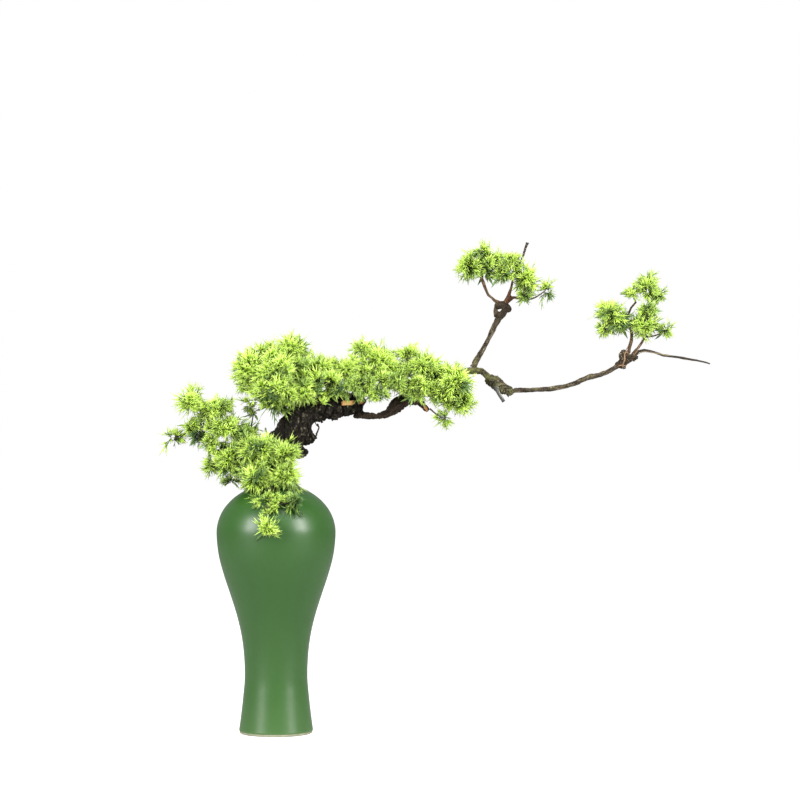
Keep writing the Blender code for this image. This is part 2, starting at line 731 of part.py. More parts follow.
def build_trunk(wood):
    """The trunk with its burls, the spike under it and the tendril beside it."""
    trunk = wood.add("trunk", TRUNK, "trunk", "bark", steps=1, sides=TRUNK_SIDES,
                     lumps=TRUNK_LUMPS)
    foot = bung_top() - BUNG_LENGTH - SPIKE_BELOW_BUNG
    head = tree_point(0, 0, 0).z + SPIKE_IN_TRUNK
    radius = SPIKE_WIDTH / 2
    spike = [(0, foot), (radius, foot), (radius, head), (0, head)]
    add_piece("trunk_spike", turned(spike, VASE_SIDES), Vector((0, 0, 0)), "trunk", "spike")
    room = [(0, foot - GAP), (radius + GAP, foot - GAP), (radius + GAP, head + GAP),
            (0, head + GAP)]
    socket = add_guide("spike_socket", turned(room, VASE_SIDES), Vector((0, 0, 0)))
    boolean(trunk, socket, 'DIFFERENCE')
    wood.add("tendril", TENDRIL, "trunk", "twig", sides=TWIG_SIDES, butts=["trunk"])
    wood.add("left_stem", LEFT_STEM, "trunk", "bark", butts=["trunk"])
    wood.add("left_arm_stem", LEFT_ARM_STEM, "left_arm", "bark", butts=["left_stem"])


def build_boughs(wood):
    """The bough out of the trunk, the forked limb and what is bound on at its knot."""
    wood.add("bough", BOUGH, "trunk", "bark", lumps=BOUGH_LUMPS, butts=["trunk"])
    wood.add("fork_limb", FORK_LIMB, "trunk", "branch", butts=["bough"])
    wood.add("binding_knot", BINDING_KNOT, "trunk", "branch", lumps=BINDING_LUMPS,
             butts=["fork_limb"])
    wood.add("cut_peg", CUT_PEG, "trunk", "branch", butts=["binding_knot"])


def build_long_branch(wood):
    """The long branch, the knot at its end and the twigs out of that."""
    wood.add("long_branch", LONG_BRANCH, "long_branch", "branch", butts=["binding_knot"])
    wood.add("tip_knot", TIP_KNOT, "long_branch", "branch", lumps=TIP_LUMPS,
             butts=["long_branch"])
    wood.add("tail_twig", TAIL_TWIG, "long_branch", "twig", sides=TWIG_SIDES,
             butts=["tip_knot"])
    wood.add("twig_tip_left", TWIG_TIP_LEFT, "tip_left", "twig", sides=TWIG_SIDES,
             butts=["tip_knot"])
    wood.add("twig_tip_right", TWIG_TIP_RIGHT, "tip_right", "twig", sides=TWIG_SIDES,
             butts=["tip_knot", "tail_twig"])


def build_upper_branch(wood):
    """The rising branch, its open knot and the bare twigs that fan out of it."""
    wood.add("upper_branch", UPPER_BRANCH, "upper_branch", "branch", butts=["fork_limb"])
    wood.add("crown_knot", CROWN_KNOT, "upper_branch", "branch", lumps=CROWN_LUMPS,
             butts=["upper_branch"])
    wood.add("twig_top_left", TWIG_TOP_LEFT, "top_left", "twig", sides=TWIG_SIDES,
             butts=["crown_knot"])
    wood.add("twig_top_mid", TWIG_TOP_MID, "upper_branch", "twig", sides=TWIG_SIDES,
             butts=["crown_knot"])
    wood.add("twig_top_right", TWIG_TOP_RIGHT, "top_right", "twig", sides=TWIG_SIDES,
             butts=["crown_knot", "twig_top_mid"])
    wood.add("bud_twig", BUD_TWIG, "upper_branch", "bark", sides=TWIG_SIDES,
             butts=["twig_top_mid"])


def build_sprays(wood):
    """Every needle spray, each trimmed clear of its neighbours, the wood and the vase."""
    sprays = {}
    for body, group in SPRAYS.items():
        for name, (centre, half) in group.items():
            size = [h * MM * SPRAY_FULLNESS for h in half]
            sprays[name] = (tree_point(*centre), size, body)
    trims = {name: trims_for_sprays(centre, half, body, sprays, name)
             + trims_for_wood(centre, half, body, wood) + trims_for_vase(centre, half)
             for name, (centre, half, body) in sprays.items()}
    links = links_for_sprays(sprays, trims, wood)
    for name, (centre, half, body) in sprays.items():
        add_spray(name, centre, half, body, trims[name], links[name])


def main():
    """Clears the scene and builds the whole tree."""
    for old in list(bpy.data.objects):
        bpy.data.objects.remove(old, do_unlink=True)
    wood = Wood()
    build_vase()
    build_bung()
    build_trunk(wood)
    build_boughs(wood)
    build_long_branch(wood)
    build_upper_branch(wood)
    build_sprays(wood)


main()
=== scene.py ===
"""Finished looks of the artificial tabletop tree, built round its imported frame.

The vase, the wood and every needle spray are made here as detailed pieces that ride on
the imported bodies. All sizes are in metres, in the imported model's own frame.
"""
from __future__ import annotations

import json
import logging
import math
from dataclasses import dataclass, field
from enum import Enum

import bmesh
import bpy
import numpy as np
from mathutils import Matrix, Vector, noise
from mathutils.bvhtree import BVHTree

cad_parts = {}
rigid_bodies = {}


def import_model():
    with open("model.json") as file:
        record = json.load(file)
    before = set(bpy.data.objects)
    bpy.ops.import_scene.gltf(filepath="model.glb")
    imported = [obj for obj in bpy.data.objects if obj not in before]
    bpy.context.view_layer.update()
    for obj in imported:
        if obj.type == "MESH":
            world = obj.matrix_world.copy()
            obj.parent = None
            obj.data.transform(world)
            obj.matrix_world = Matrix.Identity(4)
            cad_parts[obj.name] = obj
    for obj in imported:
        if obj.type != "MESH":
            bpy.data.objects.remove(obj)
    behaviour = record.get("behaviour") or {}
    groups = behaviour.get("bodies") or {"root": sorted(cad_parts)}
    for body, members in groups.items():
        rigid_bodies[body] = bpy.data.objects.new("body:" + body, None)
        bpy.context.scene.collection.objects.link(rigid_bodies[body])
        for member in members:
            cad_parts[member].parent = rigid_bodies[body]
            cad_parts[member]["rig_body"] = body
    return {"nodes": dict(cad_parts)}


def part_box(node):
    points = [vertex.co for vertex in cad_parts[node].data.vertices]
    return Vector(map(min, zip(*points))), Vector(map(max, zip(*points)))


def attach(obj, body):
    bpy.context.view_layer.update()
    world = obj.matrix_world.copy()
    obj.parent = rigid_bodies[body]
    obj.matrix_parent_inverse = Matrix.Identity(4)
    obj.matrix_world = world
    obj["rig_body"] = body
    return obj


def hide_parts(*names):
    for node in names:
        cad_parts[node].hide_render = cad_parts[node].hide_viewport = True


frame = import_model()

LOG = logging.getLogger("tabletop_tree")
MM = 0.001
Colour = tuple[float, float, float]
Point = tuple[float, float, float]
Socket = bpy.types.NodeSocket
Batch = list[tuple[np.ndarray, np.ndarray, np.ndarray]]
FULL_TURN = 2 * math.pi
GOLDEN_TURN = 2.39996
WHITE = (1.0, 1.0, 1.0)


class Slot(Enum):
    """The record's material slots."""

    GLAZE = "glaze"
    PLASTER = "plaster"
    FOAM = "foam"
    SPIKE = "spike"
    BARK = "bark"
    BRANCH = "branch"
    TWIG = "twig"
    NEEDLES = "needles"


# ---- shader workbench --------------------------------------------------------------
@dataclass
class Bench:
    """A node tree that is being wired."""

    tree: bpy.types.NodeTree

    def feed(self, target: Socket, value: Socket | Colour | float) -> None:
        """Wires a value to a socket, or sets it there.

        Args:
            target: the socket.
            value: another socket, a linear colour or a number.
        """
        if isinstance(value, Socket):
            self.tree.links.new(value, target)
        else:
            target.default_value = (*value, 1.0) if isinstance(value, tuple) else value

    def add(self, kind: str, inputs: dict[str, Socket | Colour | float] | None = None,
            **settings: object) -> bpy.types.Node:
        """Adds a node.

        Args:
            kind: the node's type name, without its ShaderNode prefix.
            inputs: what its named inputs are fed.
            settings: properties of the node to set.

        Returns:
            The new node.
        """
        node = self.tree.nodes.new("ShaderNode" + kind)
        for name, value in settings.items():
            setattr(node, name, value)
        for name, value in (inputs or {}).items():
            self.feed(node.inputs[name], value)
        return node

    def attribute(self, name: str, output: str = "Fac") -> Socket:
        """Reads one of the mesh's own attributes."""
        return self.add("Attribute", attribute_name=name).outputs[output]

    def cloud(self, vector: Socket, scale: Socket | float, detail: float,
              **others: float) -> Socket:
        """Adds cloudy noise.

        Args:
            vector: the places it reads.
            scale: how fine it is.
            detail: how many finer clouds lie on it.
            others: numbers for its other inputs.

        Returns:
            Its strength.
        """
        inputs = {"Vector": vector, "Scale": scale, "Detail": detail, **others}
        return self.add("TexNoise", inputs).outputs["Fac"]

    def spread(self, value: Socket, low: float, high: float, bottom: float = 0.0,
               top: float = 1.0) -> Socket:
        """Stretches a value.

        Args:
            value: the value.
            low: what becomes the bottom.
            high: what becomes the top.
            bottom: the least result.
            top: the greatest result.

        Returns:
            The stretched value.
        """
        inputs = {"Value": value, "From Min": low, "From Max": high, "To Min": bottom,
                  "To Max": top}
        return self.add("MapRange", inputs).outputs["Result"]

    def ramp(self, factor: Socket, stops: list[tuple[float, Colour]]) -> Socket:
        """Adds a colour ramp.

        Args:
            factor: what picks the place on the ramp.
            stops: the ramp's places and their linear colours.

        Returns:
            The ramp's colour.
        """
        node = self.add("ValToRGB", {"Fac": factor})
        band = node.color_ramp.elements
        while len(band) < len(stops):
            band.new(1.0)
        for stop, (place, colour) in zip(band, stops):
            stop.position = place
            stop.color = (*colour, 1.0)
        return node.outputs["Color"]

    def mix(self, factor: Socket | float, low: Socket | Colour,
            high: Socket | Colour) -> Socket:
        """Mixes two colours.

        Args:
            factor: the share of the second colour.
            low: the first colour, or a socket that gives it.
            high: the second colour, or a socket that gives it.

        Returns:
            The mixed colour.
        """
        node = self.add("Mix", data_type="RGBA")
        for number, value in ((0, factor), (6, low), (7, high)):
            self.feed(node.inputs[number], value)
        return node.outputs[2]

    def maths(self, operation: str, *values: Socket | float) -> Socket:
        """Adds a maths node.

        Args:
            operation: what it works out.
            values: its inputs, as sockets or numbers.

        Returns:
            Its result.
        """
        node = self.add("Math", operation=operation, use_clamp=operation == "MULTIPLY_ADD")
        for socket, value in zip(node.inputs, values):
            self.feed(socket, value)
        return node.outputs[0]

    def bump(self, height: Socket, strength: float, distance: float) -> Socket:
        """Adds a bump.

        Args:
            height: what raises the surface.
            strength: how strongly it shows.
            distance: how high it stands, in metres.

        Returns:
            The bumped normal.
        """
        inputs = {"Strength": strength, "Distance": distance, "Height": height}
        return self.add("Bump", inputs).outputs["Normal"]


def group_tree(name: str, inputs: dict[str, tuple[str, object]],
               outputs: dict[str, str]) -> tuple[Bench, bpy.types.Node, bpy.types.Node]:
    """Starts a shader node group.

    Args:
        name: the group's name.
        inputs: each input's socket type and default.
        outputs: each output's socket type.

    Returns:
        The group's bench, its input node and its output node.
    """
    tree = bpy.data.node_groups.new(name, "ShaderNodeTree")
    for label, (kind, value) in inputs.items():
        socket = tree.interface.new_socket(name=label, in_out="INPUT",
                                           socket_type="NodeSocket" + kind)
        if value is not None:
            socket.default_value = value
    for label, kind in outputs.items():
        tree.interface.new_socket(name=label, in_out="OUTPUT",
                                  socket_type="NodeSocket" + kind)
    return Bench(tree), tree.nodes.new("NodeGroupInput"), tree.nodes.new("NodeGroupOutput")


def speckle_group() -> bpy.types.NodeTree:
    """Builds the speckle: two sizes of cloudy grain over any surface.

    Returns:
        The group, with Vector, Coarse and Fine inputs and a Mask output.
    """
    bench, source, sink = group_tree(
        "speckle", {"Vector": ("Vector", None), "Coarse": ("Float", 60.0),
                    "Fine": ("Float", 600.0)}, {"Mask": "Float"})
    given = source.outputs
    coarse, fine = (bench.cloud(given["Vector"], given[label], detail, Roughness=0.6)
                    for label, detail in (("Coarse", 4.0), ("Fine", 2.0)))
    total = bench.maths("ADD", coarse, bench.maths("MULTIPLY", fine, 0.6))
    bench.feed(sink.inputs["Mask"], bench.spread(total, 0.55, 1.05))
    return bench.tree


def fibre_group() -> bpy.types.NodeTree:
    """Builds the fibre: streaks that run along a branch.

    Returns:
        The group, with Grain, Width and Length inputs and a Mask output.
    """
    bench, source, sink = group_tree(
        "fibre", {"Grain": ("Vector", None), "Width": ("Float", 900.0),
                  "Length": ("Float", 60.0)}, {"Mask": "Float"})
    given = source.outputs
    scale = bench.add("CombineXYZ", {"X": given["Width"], "Y": given["Width"],
                                     "Z": given["Length"]})
    stretched = bench.add("VectorMath", operation="MULTIPLY")
    bench.feed(stretched.inputs[0], given["Grain"])
    bench.feed(stretched.inputs[1], scale.outputs["Vector"])
    streaks = bench.cloud(stretched.outputs["Vector"], 1.0, 5.0, Roughness=0.65,
                          Distortion=0.4)
    bench.feed(sink.inputs["Mask"], bench.spread(streaks, 0.32, 0.68))
    return bench.tree


@dataclass
class Effects:
    """The shader groups that more than one finish uses."""

    speckle: bpy.types.NodeTree = field(default_factory=speckle_group)
    fibre: bpy.types.NodeTree = field(default_factory=fibre_group)

    def place(self, bench: Bench, tree: bpy.types.NodeTree,
              vector: Socket, **values: float) -> Socket:
        """Places a group in a material.

        Args:
            bench: the material's bench.
            tree: the group.
            vector: what its first input reads.
            values: numbers for its other inputs.

        Returns:
            Its mask.
        """
        node = bench.add("Group")
        node.node_tree = tree
        bench.feed(node.inputs[0], vector)
        for label, value in values.items():
            bench.feed(node.inputs[label], value)
        return node.outputs["Mask"]


def blank_material(name: str, roughness: float, specular: float = 0.5
                   ) -> tuple[bpy.types.Material, Bench, bpy.types.Node]:
    """Starts a material.

    Args:
        name: the material's name.
        roughness: the shader's roughness.
        specular: the shader's specular level.

    Returns:
        The material, its bench and its Principled shader.
    """
    material = bpy.data.materials.new(name)
    material.use_nodes = True
    shader = material.node_tree.nodes["Principled BSDF"]
    shader.inputs["Roughness"].default_value = roughness
    shader.inputs["Specular IOR Level"].default_value = specular
    return material, Bench(material.node_tree), shader


# ---- finishes ----------------------------------------------------------------------
RELIEF = 0.6 * MM
STALK_FROM = 0.95
STALK_PLACE = (0.98, 0.3)


@dataclass(frozen=True)
class Glaze:
    """Satin green glaze, a little paler where it runs thin at the lip and the glaze edge, and
    painted paler over the lower body as painted light.
    """

    deep: Colour = (0.019, 0.073, 0.008)
    thin: Colour = (0.070, 0.150, 0.045)
    roughness: float = 0.34

    def material(self, effects: Effects) -> bpy.types.Material:
        """Builds the glaze.

        Args:
            effects: the shared shader groups.

        Returns:
            The material.
        """
        material, bench, shader = blank_material("satin_green_glaze", self.roughness)
        place = bench.add("TexCoord").outputs["Object"]
        cloud = effects.place(bench, effects.speckle, place, Coarse=14.0, Fine=260.0)
        tone = bench.ramp(cloud, [(0.0, self.deep), (0.5, (0.020, 0.077, 0.009)),
                                  (1.0, (0.022, 0.081, 0.010))])
        # The thin attribute holds real thin glaze at the lip and the glaze edge, and painted
        # light on the lower body.
        colour = bench.mix(bench.attribute("thin"), tone, self.thin)
        bench.feed(shader.inputs["Base Color"], colour)
        skin = bench.cloud(place, 60.0, 2.0)
        gloss = bench.spread(skin, 0.0, 1.0, self.roughness - 0.03, self.roughness + 0.06)
        bench.feed(shader.inputs["Roughness"], gloss)
        bench.feed(shader.inputs["Normal"], bench.bump(skin, 0.05, 0.4 * MM))
        return material


@dataclass(frozen=True)
class Speckled:
    """A plain matt stuff with cloudy grain: bare clay, plaster or foam."""

    name: str
    low: Colour
    high: Colour
    coarse: float
    fine: float
    bump: float
    roughness: float = 0.9

    def material(self, effects: Effects) -> bpy.types.Material:
        """Builds the stuff.

        Args:
            effects: the shared shader groups.

        Returns:
            The material.
        """
        material, bench, shader = blank_material(self.name, self.roughness, 0.3)
        place = bench.add("TexCoord").outputs["Object"]
        grain = effects.place(bench, effects.speckle, place, Coarse=self.coarse,
                              Fine=self.fine)
        bench.feed(shader.inputs["Base Color"],
                   bench.ramp(grain, [(0.0, self.low), (1.0, self.high)]))
        bench.feed(shader.inputs["Normal"], bench.bump(grain, self.bump, RELIEF))
        return material


@dataclass(frozen=True)
class WoodSkin:
    """Bark or bare wood: painted shade in dark clefts, a body colour, painted light on pale
    ridges, streaks and moss.
    """

    name: str
    cleft: Colour
    body: Colour
    ridge: Colour
    streak: Colour
    streak_share: float
    moss: Colour = (0.07, 0.075, 0.025)
    moss_share: float = 0.0
    roughness: float = 0.82
    bump: float = 0.5
    width: float = 700.0
    length: float = 70.0

    def material(self, effects: Effects) -> bpy.types.Material:
        """Builds the skin.

        Args:
            effects: the shared shader groups.

        Returns:
            The material.
        """
        material, bench, shader = blank_material(self.name, self.roughness, 0.18)
        place = bench.add("TexCoord").outputs["Object"]
        grain = bench.attribute("grain", "Vector")
        height = bench.attribute("height")
        speckle = effects.place(bench, effects.speckle, place, Coarse=160.0, Fine=900.0)
        fibre = effects.place(bench, effects.fibre, grain, Width=self.width,
                              Length=self.length)
        mixed = bench.maths("MULTIPLY_ADD", speckle, 0.34, bench.maths(
            "MULTIPLY_ADD", height, 0.8, -0.10))
        # Painted shade and light: the ramp runs from the near-black cleft colour where the wood
        # is sunk to the pale ridge colour where it stands proud.
        tone = bench.ramp(mixed, [(0.10, self.cleft), (0.52, self.body),
                                  (0.92, self.ridge)])
        share = bench.maths("MULTIPLY", fibre, self.streak_share)
        tone = bench.mix(share, tone, self.streak)
        if self.moss_share:
            grown = self.moss_share * 0.3
            mask = bench.spread(bench.cloud(place, 95.0, 5.0), 0.62 - grown, 0.74 - grown,
                                top=0.85)
            tone = bench.mix(mask, tone, self.moss)
        bench.feed(shader.inputs["Base Color"], tone)
        relief = bench.maths("ADD", fibre, bench.maths("MULTIPLY", speckle, 0.8))
        bench.feed(shader.inputs["Normal"], bench.bump(relief, self.bump, RELIEF))
        return material


@dataclass(frozen=True)
class SawnWood:
    """A freshly cut face, with rings round its heart."""

    name: str
    pale: Colour = (0.740, 0.430, 0.165)
    dark: Colour = (0.075, 0.035, 0.016)
    ring: Colour = (0.380, 0.185, 0.065)

    def material(self, effects: Effects) -> bpy.types.Material:
        """Builds the cut face.

        Args:
            effects: the shared shader groups.

        Returns:
            The material.
        """
        material, bench, shader = blank_material(self.name, 0.72, 0.3)
        grain = bench.attribute("grain", "Vector")
        rings = bench.add("TexWave", {"Vector": grain, "Scale": 420.0, "Distortion": 2.2,
                                      "Detail": 2.0}, wave_type="RINGS",
                          rings_direction="SPHERICAL")
        speckle = effects.place(bench, effects.speckle, grain, Coarse=300.0, Fine=1800.0)
        share = bench.maths("MULTIPLY_ADD", rings.outputs["Fac"], 0.5,
                            bench.maths("MULTIPLY", speckle, 0.4))
        tone = bench.mix(share, self.pale, self.ring)
        tone = bench.mix(bench.attribute("height"), tone, self.dark)
        bench.feed(shader.inputs["Base Color"], tone)
        bench.feed(shader.inputs["Normal"], bench.bump(share, 0.35, 0.3 * MM))
        return material


@dataclass(frozen=True)
class NeedlePlastic:
    """Moulded needle plastic: painted dark at the root as the shade inside the tufts, bright at
    the tip, in several dyes, with painted shade mixed into the dye.
    """

    stalk: Colour = (0.050, 0.036, 0.018)
    roughness: float = 0.46

    def material(self) -> bpy.types.Material:
        """Builds the plastic. The needles' own map holds the dye, painted shade included, along
        and the place up the needle, and the colour darkens towards the root as painted shade.

        Returns:
            The material.
        """
        material, bench, shader = blank_material("needle_plastic", self.roughness, 0.4)
        place = bench.add("UVMap", uv_map="OFBake").outputs["UV"]
        split = bench.add("SeparateXYZ")
        bench.feed(split.inputs[0], place)
        dye_and_shade, up = split.outputs["X"], split.outputs["Y"]
        # Painted shade: both ramps darken towards the needle's root, standing in for the shade
        # inside the tufts.
        bright = bench.ramp(up, [(0.0, (0.010, 0.026, 0.002)), (0.20, (0.080, 0.160, 0.008)),
                                 (0.44, (0.400, 0.590, 0.050)), (0.72, (0.660, 0.860, 0.190)),
                                 (1.0, (0.780, 0.930, 0.380))])
        deep = bench.ramp(up, [(0.0, (0.003, 0.009, 0.004)), (0.35, (0.014, 0.052, 0.018)),
                               (0.75, (0.055, 0.160, 0.048)), (1.0, (0.170, 0.350, 0.110))])
        # The deep ramp takes the deeply dyed sprigs and those given painted shade.
        green = bench.mix(dye_and_shade, bright, deep)
        stalk = bench.maths("GREATER_THAN", dye_and_shade, STALK_FROM)
        bench.feed(shader.inputs["Base Color"], bench.mix(stalk, green, self.stalk))
        return material


# Each skin's first colour is the painted shade of its clefts and its third the painted light of
# its ridges.
BARK = WoodSkin("craggy_bark", (0.001, 0.001, 0.001), (0.010, 0.008, 0.005),
                (0.145, 0.122, 0.085), (0.055, 0.041, 0.026), 0.22,
                moss=(0.040, 0.040, 0.018), moss_share=0.05, bump=0.9)
BOUGH_BARK = WoodSkin("bough_bark", (0.003, 0.002, 0.002), (0.018, 0.013, 0.009),
                      (0.100, 0.076, 0.048), (0.120, 0.080, 0.045), 0.35,
                      moss=(0.045, 0.046, 0.018), moss_share=0.10, bump=0.8)
MOSSY = WoodSkin("mossy_limb", (0.006, 0.006, 0.003), (0.060, 0.056, 0.028),
                 (0.210, 0.190, 0.105), (0.150, 0.130, 0.075), 0.40,
                 moss=(0.135, 0.140, 0.045), moss_share=0.75, bump=0.6)
BRANCH_SKIN = WoodSkin("branch_skin", (0.008, 0.006, 0.004), (0.160, 0.128, 0.078),
                       (0.400, 0.330, 0.215), (0.040, 0.030, 0.020), 0.55,
                       moss=(0.120, 0.115, 0.050), moss_share=0.25, bump=0.6)
KNOT_SKIN = WoodSkin("knot_skin", (0.005, 0.003, 0.002), (0.080, 0.056, 0.032),
                     (0.400, 0.310, 0.200), (0.050, 0.036, 0.022), 0.45, bump=0.6)
BOUND_SKIN = WoodSkin("bound_knot_skin", (0.006, 0.005, 0.003), (0.095, 0.080, 0.046),
                      (0.290, 0.245, 0.150), (0.050, 0.040, 0.024), 0.45,
                      moss=(0.105, 0.108, 0.045), moss_share=0.45, bump=0.6)
GREY_PEG = WoodSkin("grey_cut_peg", (0.020, 0.020, 0.018), (0.185, 0.180, 0.165),
                    (0.520, 0.500, 0.460), (0.060, 0.056, 0.050), 0.50, bump=0.5,
                    width=1500.0)
DARK_TWIG = WoodSkin("dark_twig", (0.010, 0.008, 0.006), (0.045, 0.036, 0.028),
                     (0.140, 0.115, 0.090), (0.090, 0.070, 0.050), 0.45, bump=0.5,
                     width=1500.0)
PALE_TWIG = WoodSkin("pale_twig", (0.040, 0.024, 0.013), (0.190, 0.118, 0.066),
                     (0.400, 0.270, 0.160), (0.080, 0.050, 0.030), 0.50, bump=0.5,
                     width=1500.0)
RED_TWIG = WoodSkin("red_brown_twig", (0.030, 0.014, 0.007), (0.150, 0.070, 0.032),
                    (0.330, 0.190, 0.100), (0.060, 0.030, 0.016), 0.50, bump=0.5,
                    width=1500.0)
SPIKE = Speckled("turned_spike", (0.250, 0.140, 0.060), (0.460, 0.310, 0.160), 90.0,
                 700.0, 0.2)
BARE_CLAY = Speckled("bare_clay", (0.230, 0.230, 0.150), (0.360, 0.360, 0.250), 120.0,
                     900.0, 0.25)
PLASTER = Speckled("cast_plaster", (0.560, 0.540, 0.490), (0.720, 0.700, 0.650), 70.0,
                   700.0, 0.30)
FOAM = Speckled("wet_set_foam", (0.030, 0.070, 0.022), (0.110, 0.200, 0.070), 260.0,
                1500.0, 0.9)
SAWN = SawnWood("sawn_face")
CHIPPED = SawnWood("chipped_red_face", (0.240, 0.100, 0.045), (0.050, 0.020, 0.010))


# ---- mesh helpers ------------------------------------------------------------------
def object_from(name: str, mesh: bpy.types.Mesh, node: str,
                materials: list[bpy.types.Material]) -> bpy.types.Object:
    """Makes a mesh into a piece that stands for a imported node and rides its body.

    Args:
        name: the piece's name.
        mesh: the piece's mesh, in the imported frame.
        node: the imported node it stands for.
        materials: its materials, in slot order.

    Returns:
        The piece.
    """
    piece = bpy.data.objects.new(name, mesh)
    bpy.context.scene.collection.objects.link(piece)
    for material in materials:
        mesh.materials.append(material)
    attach(piece, frame["nodes"][node]["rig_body"])
    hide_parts(node)
    LOG.info("%s: %d faces", name, len(mesh.polygons))
    return piece


def mesh_of_triangles(name: str, points: np.ndarray, triangles: np.ndarray,
                      corners: np.ndarray) -> bpy.types.Mesh:
    """Makes a mesh from arrays of triangles, with a map from point to place.

    Args:
        name: the mesh's name.
        points: the points, one a row.
        triangles: the triangles' point numbers, one triangle a row.
        corners: each point's place on the map.

    Returns:
        The mesh, shaded smooth.
    """
    mesh = bpy.data.meshes.new(name)
    mesh.vertices.add(len(points))
    mesh.vertices.foreach_set("co", points.astype(np.float32).ravel())
    mesh.loops.add(triangles.size)
    mesh.loops.foreach_set("vertex_index", triangles.astype(np.int32).ravel())
    mesh.polygons.add(len(triangles))
    mesh.polygons.foreach_set("loop_start", np.arange(0, triangles.size, 3, dtype=np.int32))
    mesh.update(calc_edges=True)
    layer = mesh.uv_layers.new(name="OFBake")
    layer.data.foreach_set("uv", corners[triangles.ravel()].astype(np.float32).ravel())
    mesh.shade_smooth()
    mesh.validate()
    return mesh


def smooth_line(points: np.ndarray, steps: int) -> np.ndarray:
    """Runs a smooth line through points.

    Args:
        points: the points, one a row, with any number of columns.
        steps: how many places each stretch is cut into.

    Returns:
        The line's places, one a row.
    """
    padded = np.vstack([2 * points[0] - points[1], points, 2 * points[-1] - points[-2]])
    t = (np.arange(steps) / steps)[:, None]
    line = []
    for a, b, c, d in zip(padded, padded[1:], padded[2:], padded[3:]):
        line.append(0.5 * (2 * b + (c - a) * t + (2 * a - 5 * b + 4 * c - d) * t ** 2
                           + (3 * b - a - 3 * c + d) * t ** 3))
    return np.vstack([*line, points[-1:]])


def add_tube(bm: bmesh.types.BMesh, line: np.ndarray, radii: np.ndarray, sides: int,
             material: int, height: float = 0.6) -> None:
    """Adds a round strand about a line to a bmesh, with its grain along it.

    Args:
        bm: the bmesh.
        line: the strand's middle, one place a row.
        radii: its radius at each place.
        sides: how many sides it has.
        material: its material's number.
        height: how light it is painted, between the painted shade of the clefts and the painted
            light of the ridges.
    """
    grain = bm.verts.layers.float_vector.get("grain")
    light = bm.verts.layers.float.get("height")
    ahead = np.gradient(line, axis=0)
    ahead /= np.linalg.norm(ahead, axis=1)[:, None]
    side = Vector(ahead[0]).orthogonal().normalized()
    along = 0.0
    rings = []
    for i, (place, heading, radius) in enumerate(zip(line, ahead, radii)):
        heading = Vector(heading)
        side = (side - heading * side.dot(heading)).normalized()
        other = heading.cross(side)
        along += float(np.linalg.norm(line[i] - line[i - 1])) if i else 0.0
        ring = []
        for k in range(sides):
            turn = FULL_TURN * k / sides
            out = side * math.cos(turn) + other * math.sin(turn)
            vert = bm.verts.new(Vector(place) + out * radius)
            vert[grain] = (math.cos(turn) * radius, math.sin(turn) * radius, along)
            vert[light] = height
            ring.append(vert)
        rings.append(ring)
    for low, high in zip(rings, rings[1:]):
        for k in range(sides):
            j = (k + 1) % sides
            bm.faces.new((low[k], low[j], high[j], high[k])).material_index = material
    bm.faces.new(rings[0][::-1]).material_index = material
    bm.faces.new(rings[-1]).material_index = material


